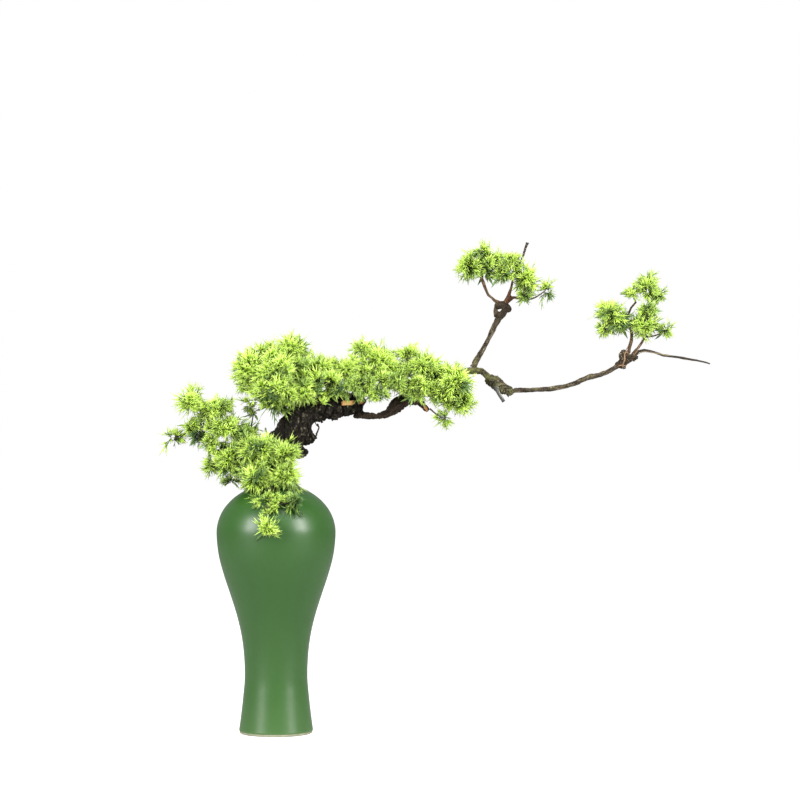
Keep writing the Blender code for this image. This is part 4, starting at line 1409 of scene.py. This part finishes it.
@dataclass
class Sprig:
    """A moulded sprig: a short stalk with a whorl of flat, pointed, forking needles."""

    seed: int
    needles: int = 6
    blade: float = 0.037
    thin: float = 0.45
    stalk: float = 0.24
    least_lean: float = 10.0
    most_lean: float = 62.0
    fork_chance: float = 0.55
    points: list[Vector] = field(default_factory=list)
    triangles: list[tuple[int, int, int]] = field(default_factory=list)
    travel: list[float] = field(default_factory=list)

    def needle(self, line: list[Vector], widths: list[float], travel: list[float],
               across: Vector) -> None:
        """Adds a flat needle that ends in a point.

        Args:
            line: its middle line, root to point.
            widths: half its width at each place but the point.
            travel: how far up the sprig each place is.
            across: the way its blade is wide.
        """
        base = len(self.points)
        for i, (place, wide) in enumerate(zip(line, widths)):
            heading = (line[i + 1] - place).normalized()
            side = (across - heading * across.dot(heading)).normalized()
            deep = heading.cross(side)
            for out in (side, deep * self.thin, -side, -deep * self.thin):
                self.points.append(place + out * wide)
                self.travel.append(travel[i])
        for i in range(len(widths) - 1):
            for k in range(4):
                a, b = base + i * 4 + k, base + i * 4 + (k + 1) % 4
                self.triangles += [(a, b, b + 4), (a, b + 4, a + 4)]
        top = len(self.points)
        self.points.append(line[-1])
        self.travel.append(travel[-1])
        for k in range(4):
            self.triangles.append((top - 4 + k, top - 4 + (k + 1) % 4, top))

    def grow(self) -> Sprig:
        """Grows the whole sprig along +Z, about one unit long.

        Returns:
            The sprig.
        """
        rng = np.random.default_rng(self.seed)
        up = Vector((0, 0, 1))
        self.needle([Vector(), up * self.stalk, up * (self.stalk + 0.05)],
                    [self.blade * 0.8, self.blade * 0.7], [0.0, 0.2, 0.25],
                    Vector((1, 0, 0)))
        count = int(rng.integers(self.needles - 1, self.needles + 2))
        for k in range(count):
            turn = FULL_TURN * (k + rng.uniform(-0.3, 0.3)) / count
            lean = math.radians(rng.uniform(self.least_lean, self.most_lean))
            out = Vector((math.cos(turn), math.sin(turn), 0))
            heading = out * math.sin(lean) + up * math.cos(lean)
            across = up.cross(out)
            long = rng.uniform(0.46, 0.80) * (1 - 0.2 * lean)
            start = up * self.stalk * rng.uniform(0.3, 1.0)
            bend = (up * rng.uniform(-0.10, 0.22) + across * rng.uniform(-0.12, 0.12)) * long
            middle = start + heading * long * 0.5 - bend * 0.35
            end = start + heading * long + bend * 0.5
            wide = self.blade * rng.uniform(0.8, 1.2)
            self.needle([start, middle, end], [wide * 0.6, wide],
                        [0.12, 0.18 + long * 0.5, 0.28 + long * 0.9], across)
            for side in (-1, 1):
                if rng.uniform() < self.fork_chance:
                    root = start.lerp(middle, rng.uniform(0.55, 0.95))
                    fork = (heading + across * side * rng.uniform(0.45, 0.8)).normalized()
                    tip = root + fork * long * rng.uniform(0.34, 0.52)
                    self.needle([root, root.lerp(tip, 0.45), tip],
                                [wide * 0.5, wide * 0.8],
                                [0.2 + long * 0.3, 0.25 + long * 0.5, 0.3 + long * 0.85],
                                across)
        return self


@dataclass(frozen=True)
class Habit:
    """How a rosette stands in its tuft: how many sprigs it has, how many sprig lengths
    its heart lies in from the skin, how near the middle that may come and the sprigs'
    least and greatest size."""

    sprigs: int
    depth: float
    core: float
    smallest: float
    largest: float


CROWDED = Habit(4, 0.42, 0.38, 0.60, 1.15)
AIRY = Habit(2, 0.72, 0.22, 1.0, 1.30)
AIRY_EVERY = 4
ANY_TURN = 6.3
LEAST_DYE_AND_SHADE = 0.02
MOST_DYE_AND_SHADE = 0.90


@dataclass
class Foliage:
    """Every needle spray of the tree, on the body that carries it."""

    kinds: int = 14
    airy_kinds: int = 6
    long: float = 0.0235
    rosette_area: float = 135e-6
    spread: float = 0.75
    splay: float = 0.42
    rise: float = 0.22
    snug: float = 1.6
    jitter: float = 0.4
    scatter: float = 0.30
    tilt: float = 0.62
    airy_tilt: float = 0.22
    tone: float = -0.06
    tone_spread: float = 0.31
    dye_and_shade_share: float = 0.8
    dye_spread: float = 0.08
    # Painted shade for sprigs that point down.
    painted_under_shade: float = 0.18
    leaf: float = 0.015
    leaf_wide: float = 0.105
    stalk: float = 0.0009
    templates: Batch = field(default_factory=list)

    def make_templates(self) -> None:
        """Grows the sprigs that every tuft is made of."""
        full = [Sprig(seed) for seed in range(self.kinds)]
        airy = [Sprig(100 + seed, 4, 0.030, 0.45, 0.42) for seed in range(self.airy_kinds)]
        for sprig in full + airy:
            sprig.grow()
            self.templates.append((np.array(sprig.points), np.array(sprig.triangles),
                                   np.array(sprig.travel)))

    @staticmethod
    def turned(heading: np.ndarray, roll: float) -> np.ndarray:
        """Gives the turn that takes +Z to a heading.

        Args:
            heading: the heading, of unit length.
            roll: the turn about it.

        Returns:
            The turn as a 3 by 3 matrix.
        """
        side = np.array(Vector(heading).orthogonal().normalized())
        other = np.cross(heading, side)
        c, s = math.cos(roll), math.sin(roll)
        return np.stack([side * c + other * s, other * c - side * s, heading], 1)

    def place_tuft(self, rng: np.random.Generator, middle: np.ndarray, half: np.ndarray,
                   tuft: Tuft, batch: Batch) -> None:
        """Fills a tuft with rosettes of sprigs.

        Args:
            rng: the spray's own dice.
            middle: the tuft's middle.
            half: its half sizes.
            tuft: the tuft.
            batch: the pieces of mesh made so far: points, triangles and map places.
        """
        area = math.pi * (half[0] * half[1] + half[0] * half[2] + half[1] * half[2])
        count = max(3, round(area / self.rosette_area * tuft.full))
        long = min(self.long, float(half.min()) * self.snug)
        for number in range(count):
            z = 1 - 2 * (number + 0.5) / count
            turn = number * GOLDEN_TURN + rng.uniform(-self.jitter, self.jitter)
            flat = math.sqrt(max(1 - z * z, 0))
            out = np.array([math.cos(turn) * flat, math.sin(turn) * flat, z])
            out += rng.normal(0, self.scatter, 3)
            out /= np.linalg.norm(out)
            reach = rng.uniform(0.02, 1.0) ** 0.5
            axis = out * self.spread + rng.normal(0, self.tilt, 3) + (0, 0, self.rise)
            axis /= np.linalg.norm(axis)
            tone = rng.normal(self.tone, self.tone_spread)
            airy = number % AIRY_EVERY == 0
            habit = AIRY if airy else CROWDED
            if airy:
                axis = out + rng.normal(0, self.airy_tilt, 3)
                reach = 1.0
            core = np.maximum(half - long * habit.depth, half * habit.core)
            heart = middle + out * core * reach
            for _ in range(habit.sprigs):
                lean = axis + rng.normal(0, self.splay, 3)
                lean /= np.linalg.norm(lean)
                kind = int(rng.integers(self.airy_kinds if airy else self.kinds))
                points, triangles, travel = self.templates[kind + self.kinds * airy]
                size = long * rng.uniform(habit.smallest, habit.largest)
                turned = points * size @ self.turned(lean, rng.uniform(0, ANY_TURN)).T + heart
                # Painted shade: sprigs that point down are dyed deeper.
                under = max(-lean[2], 0) * self.painted_under_shade
                dye_and_shade = (tuft.dye_and_shade * self.dye_and_shade_share + tone + rng.normal(0, self.dye_spread)
                       + under)
                dye_and_shade = min(max(dye_and_shade, LEAST_DYE_AND_SHADE), MOST_DYE_AND_SHADE)
                places = np.stack([np.full(len(points), dye_and_shade), travel], 1)
                batch.append((turned, triangles, places))

    def place_leaves(self, rng: np.random.Generator, middle: np.ndarray,
                     half: np.ndarray, tuft: Tuft, batch: Batch) -> None:
        """Sets dark pointed leaves low in a tuft, partly real leaves and partly painted shade
        that fills the tuft's underside; more go into deeper-dyed, shaded tufts.

        Args:
            rng: the spray's own dice.
            middle: the tuft's middle.
            half: its half sizes.
            tuft: the tuft.
            batch: the pieces of mesh made so far: points, triangles and map places.
        """
        blade = Sprig(0)
        up = Vector((0, 0, 1))
        wide = self.leaf_wide
        blade.needle([Vector(), up * 0.25, up * 0.6, up + Vector((0, 0.12, 0))],
                     [wide * 0.3, wide, wide * 0.85], [0.1, 0.4, 0.6, 0.75],
                     Vector((1, 0, 0)))
        points, triangles, travel = (np.array(part) for part in
                                     (blade.points, blade.triangles, blade.travel))
        # Painted shade: more dark leaves go into tufts with deeper dye and shade.
        for _ in range(round(1.2 + 5 * tuft.dye_and_shade)):
            out = rng.normal(0, 1, 3)
            out[2] = -abs(out[2]) * 0.8 + 0.2
            out /= np.linalg.norm(out)
            place = middle + out * half * 0.35
            size = self.leaf * rng.uniform(0.7, 1.2)
            turned = points * size @ self.turned(out, rng.uniform(0, ANY_TURN)).T + place
            batch.append((turned, triangles, np.stack(
                [np.full(len(points), rng.uniform(0.6, 0.9)), travel], 1)))

    def place_stalk(self, start: np.ndarray, end: np.ndarray, batch: Batch) -> None:
        """Leads a thin stalk from the wood, or another tuft, to a tuft's middle.

        Args:
            start: where it starts.
            end: the tuft's middle.
            batch: the pieces of mesh made so far: points, triangles and map places.
        """
        middle = (start + end) / 2 + np.array([0, 0, -0.08]) * np.linalg.norm(end - start)
        line = smooth_line(np.array([start, middle, end]), 5)
        heading = np.gradient(line, axis=0)
        sides = 6
        points = []
        for i, (place, ahead) in enumerate(zip(line, heading)):
            turned = self.turned(ahead / np.linalg.norm(ahead), 0.0)
            radius = self.stalk * (1.25 - 0.6 * i / len(line))
            for k in range(sides):
                a = FULL_TURN * k / sides
                points.append(place + (turned[:, 0] * math.cos(a)
                                       + turned[:, 1] * math.sin(a)) * radius)
        triangles = []
        for i in range(len(line) - 1):
            for k in range(sides):
                j = (k + 1) % sides
                a, b = i * sides + k, i * sides + j
                triangles += [(a, b, b + sides), (a, b + sides, a + sides)]
        batch.append((np.array(points), np.array(triangles),
                      np.tile(STALK_PLACE, (len(points), 1))))

    def routes(self) -> dict[tuple[str, int], np.ndarray]:
        """Plans where each tuft's stalk starts: on the nearest wood of its own body, or
        at the nearest tuft that is already held.

        Returns:
            The starting place for each spray's numbered tuft.
        """
        bodies: dict[str, list[tuple[str, int, np.ndarray]]] = {}
        for name, tufts in SPRAYS.items():
            for number, tuft in enumerate(tufts):
                middle, _ = self.size(name, tuft)
                body = frame["nodes"][name]["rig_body"]
                bodies.setdefault(body, []).append((name, number, middle))
        starts = {}
        for body, waiting in bodies.items():
            held = [np.array(vert.co) for node, piece in frame["nodes"].items()
                    if piece["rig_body"] == body and not node.startswith("spray")
                    for vert in piece.data.vertices]
            if not held:
                top = max(waiting, key=lambda row: row[2][2])
                held = [top[2] + np.array([0.0, 0.0, 0.010])]
            held = np.array(held)
            while waiting:
                gaps = [np.linalg.norm(held - row[2], axis=1) for row in waiting]
                pick = min(range(len(waiting)), key=lambda i: gaps[i].min())
                name, number, middle = waiting.pop(pick)
                starts[(name, number)] = held[gaps[pick].argmin()]
                held = np.vstack([held, middle])
        return starts

    @staticmethod
    def size(name: str, tuft: Tuft) -> tuple[np.ndarray, np.ndarray]:
        """Gives a tuft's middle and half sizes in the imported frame.

        Args:
            name: its spray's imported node.
            tuft: the tuft.

        Returns:
            The middle and the half sizes.
        """
        low, high = (np.array(corner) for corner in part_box(name))
        span = high - low
        wide, tall = tuft.wide * span[0], tuft.tall * span[2]
        middle = low + span * np.array([tuft.x, tuft.y, tuft.z])
        return middle, np.array([wide, (wide + tall) / 2, tall])

    def build(self) -> None:
        """Builds every spray."""
        self.make_templates()
        plastic = NeedlePlastic().material()
        starts = self.routes()
        for order, (name, tufts) in enumerate(SPRAYS.items()):
            rng = np.random.default_rng(700 + order)
            batch: Batch = []
            for number, tuft in enumerate(tufts):
                middle, half = self.size(name, tuft)
                self.place_tuft(rng, middle, half, tuft, batch)
                self.place_leaves(rng, middle, half, tuft, batch)
                self.place_stalk(starts[(name, number)], middle, batch)
            counts = np.cumsum([0, *(len(points) for points, _, _ in batch)])
            mesh = mesh_of_triangles(
                name + "_needles", np.vstack([row[0] for row in batch]),
                np.vstack([row[1] + base for row, base in zip(batch, counts)]),
                np.vstack([row[2] for row in batch]))
            object_from(name + "_needles", mesh, name, [plastic])


# ---- wood table --------------------------------------------------------------------
WOOD = (
    WoodPart("trunk", BARK, Slot.BARK, 0.60 * MM, 9, 1.6 * MM, crag=3.6 * MM,
             crag_size=11 * MM, crag_shading=0.85, easing=4, pith_step=0.008, seed=2.0,
             loops=(Loop(((0.86, 0.50, 0.76), (0.93, 0.50, 0.75), (1.00, 0.50, 0.74),
                          (1.06, 0.52, 0.715)), 4.2 * MM),
                    Loop(((0.67, 0.45, 0.71), (0.70, 0.42, 0.675), (0.73, 0.45, 0.70)),
                         3.6 * MM)),
             dents=(Dent(0.525, 0.575, 8.8 * MM),),
             strands=(Strand(0.12, 0.42, 0.35, 0.1, 1.0 * MM),
                      Strand(0.35, 0.95, 0.6, 0.70, 0.8 * MM)),
             cuts=(Cut(0.835, 0.858, 8.0 * MM, 3.4 * MM, 0.12),
                   Cut(0.955, 0.868, 3.6 * MM, 2.6 * MM, -0.3, True))),
    WoodPart("bough", BOUGH_BARK, Slot.BARK, 0.5 * MM, 8, 1.0 * MM, crag=1.3 * MM,
             crag_size=6 * MM, crag_shading=0.6, easing=4, pith_step=0.006, seed=5.0,
             root="trunk", cuts=(Cut(0.68, 0.245, 2.2 * MM, 4.0 * MM, 0.5, True),),
             loops=(Loop(((0.035, 0.40, 0.09), (0.055, 0.40, 0.17), (0.07, 0.45, 0.26)),
                         4.2 * MM),)),
    WoodPart("tendril", DARK_TWIG, Slot.TWIG, 0.22 * MM, 6, 0.2 * MM, pith_step=0.002,
             seed=1.0, root="trunk",
             loops=(Loop(((0.40, 0.5, 0.96), (0.10, 0.5, 1.14), (-0.20, 0.5, 1.40),
                          (-0.40, 0.5, 1.70)), 0.6 * MM),
                    Loop(((0.30, 0.5, 0.12), (0.10, 0.5, -0.06), (-0.25, 0.5, -0.20)),
                         0.8 * MM))),
    WoodPart("left_stem", DARK_TWIG, Slot.BARK, 0.35 * MM, 6, 0.4 * MM, seed=3.0,
             root="trunk", loops=(Loop(((0.94, 0.5, 0.85), (0.80, 0.5, 1.12),
                                        (0.73, 0.5, 1.36), (0.72, 0.5, 1.58)), 1.0 * MM),)),
    WoodPart("left_arm_stem", DARK_TWIG, Slot.BRANCH, 0.35 * MM, 6, 0.4 * MM, seed=4.0,
             root="left_stem"),
    WoodPart("fork_limb", MOSSY, Slot.BRANCH, 0.35 * MM, 7, 0.9 * MM, crag=0.5 * MM,
             crag_size=4 * MM, seed=6.0, root="bough"),
    WoodPart("binding_knot", BOUND_SKIN, Slot.BRANCH, 0.35 * MM, 8, 1.0 * MM,
             crag=1.4 * MM, crag_size=4 * MM, crag_shading=0.6, seed=7.0, pith_step=0.003,
             root="fork_limb", strands=(Strand(0.05, 0.75, 1.1, 0.0, 1.2 * MM),)),
    WoodPart("cut_peg", GREY_PEG, Slot.BRANCH, 0.3 * MM, 6, 0.25 * MM, seed=8.0,
             pith_step=0.003, root="binding_knot"),
    WoodPart("long_branch", BRANCH_SKIN, Slot.BRANCH, 0.3 * MM, 9, 0.75 * MM,
             crag=0.3 * MM, crag_size=9 * MM, crag_shading=0.4, seed=9.0, pith_step=0.006,
             swell=0.45 * MM,
             root="binding_knot", strands=(Strand(0.25, 0.62, 0.4, 0.1, 0.7 * MM),)),
    WoodPart("tip_knot", KNOT_SKIN, Slot.BRANCH, 0.3 * MM, 8, 0.7 * MM, crag=0.7 * MM,
             crag_size=3 * MM, seed=10.0, pith_step=0.003,
             root="long_branch", strand_skin=PALE_TWIG,
             strands=(Strand(0.1, 1.0, 0.8, 0.5, 1.0 * MM),
                      Strand(0.0, 0.9, -0.7, 0.7, 0.9 * MM)),
             loops=(Loop(((0.42, 0.4, 0.66), (0.34, 0.4, 0.88), (0.26, 0.4, 0.80)), 2.4 * MM),
                    Loop(((0.40, 0.5, 0.28), (0.36, 0.5, 0.06)), 2.2 * MM),
                    Loop(((0.52, 0.3, 0.62), (0.74, 0.3, 0.66), (0.90, 0.4, 0.52),
                          (0.80, 0.4, 0.40)), 1.3 * MM))),
    WoodPart("tail_twig", DARK_TWIG, Slot.TWIG, 0.25 * MM, 6, 0.3 * MM, seed=11.0,
             root="tip_knot", strands=(Strand(0.38, 0.80, 0.4, 0.1, 0.65 * MM),
                                       Strand(0.02, 0.50, 0.3, 0.55, 0.6 * MM)),
             strand_skin=BRANCH_SKIN, swell=0.25 * MM),
    WoodPart("twig_tip_left", PALE_TWIG, Slot.TWIG, 0.25 * MM, 6, 0.3 * MM, seed=12.0,
             root="tip_knot", swell=0.4 * MM,
             strands=(Strand(0.0, 0.6, 0.3, 0.0, 0.7 * MM),)),
    WoodPart("twig_tip_right", PALE_TWIG, Slot.TWIG, 0.25 * MM, 6, 0.3 * MM, seed=13.0,
             root="tip_knot", swell=0.4 * MM,
             strands=(Strand(0.0, 0.7, 0.2, 0.6, 0.6 * MM),)),
    WoodPart("upper_branch", BRANCH_SKIN, Slot.BRANCH, 0.3 * MM, 9, 0.8 * MM,
             crag=0.3 * MM, crag_size=8 * MM, crag_shading=0.4, seed=14.0, root="fork_limb",
             swell=0.4 * MM,
             strands=(Strand(0.1, 0.8, 0.5, 0.0, 0.8 * MM),)),
    WoodPart("crown_knot", KNOT_SKIN, Slot.BRANCH, 0.3 * MM, 8, 0.5 * MM, seed=15.0,
             pith_step=0.003, root="upper_branch", swell=0.5 * MM,
             loops=(Loop(((0.14, 0.40, 0.62), (0.12, 0.40, 0.42), (0.28, 0.40, 0.27)),
                         2.1 * MM),
                    Loop(((0.26, 0.35, 0.74), (0.50, 0.30, 0.76), (0.80, 0.40, 0.68),
                          (0.92, 0.50, 0.56)), 4.2 * MM))),
    WoodPart("twig_top_left", PALE_TWIG, Slot.TWIG, 0.25 * MM, 6, 0.3 * MM, seed=16.0,
             root="crown_knot", strands=(Strand(0.0, 0.9, 0.6, 0.0, 0.6 * MM),)),
    WoodPart("twig_top_mid", RED_TWIG, Slot.TWIG, 0.25 * MM, 6, 0.4 * MM, seed=17.0,
             root="crown_knot", loops=(Loop(((0.30, 0.5, 0.02), (0.48, 0.5, 0.14),
                                             (0.62, 0.5, 0.28)), 2.0 * MM),
                                       Loop(((0.45, 0.5, 0.08), (0.80, 0.5, 0.22)),
                                            1.6 * MM))),
    WoodPart("twig_top_right", RED_TWIG, Slot.TWIG, 0.25 * MM, 6, 0.3 * MM, seed=18.0,
             root="crown_knot"),
    WoodPart("bud_twig", DARK_TWIG, Slot.BARK, 0.25 * MM, 6, 0.3 * MM, seed=19.0,
             root="twig_top_mid", swell=0.55 * MM, crag=0.5 * MM, crag_size=4 * MM),
)


@dataclass
class Wood:
    """All the wood of the tree, from the trunk out to the twigs."""

    parts: tuple[WoodPart, ...] = WOOD

    def build(self, effects: Effects) -> None:
        """Builds every wooden piece.

        Args:
            effects: the shared shader groups.
        """
        skins: dict[str, bpy.types.Material] = {}
        for part in self.parts:
            part.build(effects, skins)
        spike = frame["nodes"]["trunk_spike"].data
        spike.materials.clear()
        spike.materials.append(SPIKE.material(effects))


# ---- studio ------------------------------------------------------------------------
@dataclass
class Studio:
    """A white room with two soft boxes, a pale floor and a level camera."""

    centre: Point = (0.1458, 0.0, 0.3915)
    distance: float = 3.0
    lens: float = 114.7
    sky: float = 0.42
    floor_glow: float = 0.90
    box_power: float = 58.0
    top_power: float = 30.0
    aim: Point = (0.05, 0.0, 0.25)
    box_height: float = 1.3
    floor_size: float = 12.0
    floor_place: Point = (0.15, 2.0, -0.0002)
    floor_tone: Colour = (0.50, 0.50, 0.50)

    def light(self, name: str, place: Point, aim: Point, size: tuple[float, float],
              power: float) -> None:
        """Hangs a soft box.

        Args:
            name: the light's name.
            place: where it hangs.
            aim: what it faces.
            size: its width and height.
            power: its power in watts.
        """
        lamp = bpy.data.lights.new(name, "AREA")
        lamp.shape = "RECTANGLE"
        lamp.size, lamp.size_y = size
        lamp.energy = power
        holder = bpy.data.objects.new(name, lamp)
        bpy.context.scene.collection.objects.link(holder)
        holder.location = place
        holder.rotation_mode = "QUATERNION"
        heading = Vector(aim) - Vector(place)
        holder.rotation_quaternion = heading.to_track_quat("-Z", "Y")

    def build(self) -> None:
        """Sets the room, the lights and the camera."""
        scene = bpy.context.scene
        scene.view_settings.view_transform = "Standard"
        world = bpy.data.worlds.new("white_room")
        world.use_nodes = True
        bench = Bench(world.node_tree)
        seen = bench.add("LightPath").outputs["Is Camera Ray"]
        sky = world.node_tree.nodes["Background"].inputs
        bench.feed(sky["Strength"],
                   bench.maths("MULTIPLY_ADD", seen, 1 - self.sky, self.sky))
        bench.feed(sky["Color"], WHITE)
        scene.world = world
        bpy.ops.mesh.primitive_plane_add(size=self.floor_size, location=self.floor_place)
        floor = bpy.context.object
        floor.name = "floor"
        material, bench, shader = blank_material("pale_floor", 0.9, 0.1)
        bench.feed(shader.inputs["Base Color"], self.floor_tone)
        bench.feed(shader.inputs["Emission Color"], WHITE)
        seen = bench.add("LightPath").outputs["Is Camera Ray"]
        bench.feed(shader.inputs["Emission Strength"],
                   bench.maths("MULTIPLY", seen, self.floor_glow))
        floor.data.materials.append(material)
        for side, place, wide in (("left", (-1.50, -1.35, 1.05), 0.75),
                                  ("right", (1.65, -1.20, 1.05), 0.70)):
            self.light("soft_box_" + side, place, self.aim, (wide, self.box_height),
                       self.box_power)
        self.light("top_panel", (0.15, -0.9, 2.1), (0.15, 0.0, 0.3), (1.6, 1.2),
                   self.top_power)
        lens = bpy.data.cameras.new("camera")
        lens.lens = self.lens
        lens.sensor_width = 36.0
        camera = bpy.data.objects.new("camera", lens)
        scene.collection.objects.link(camera)
        camera.location = (self.centre[0], -self.distance, self.centre[2])
        camera.rotation_euler = (math.pi / 2, 0, 0)
        scene.camera = camera


def main() -> None:
    """Builds the whole tree and its studio."""
    logging.basicConfig(level=logging.INFO, format="%(message)s")
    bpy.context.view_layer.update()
    effects = Effects()
    Studio().build()
    vase = Vase()
    vase.build_body(effects)
    vase.dress_inside(effects)
    Wood().build(effects)
    Foliage().build()


if __name__ == "__main__":
    main()
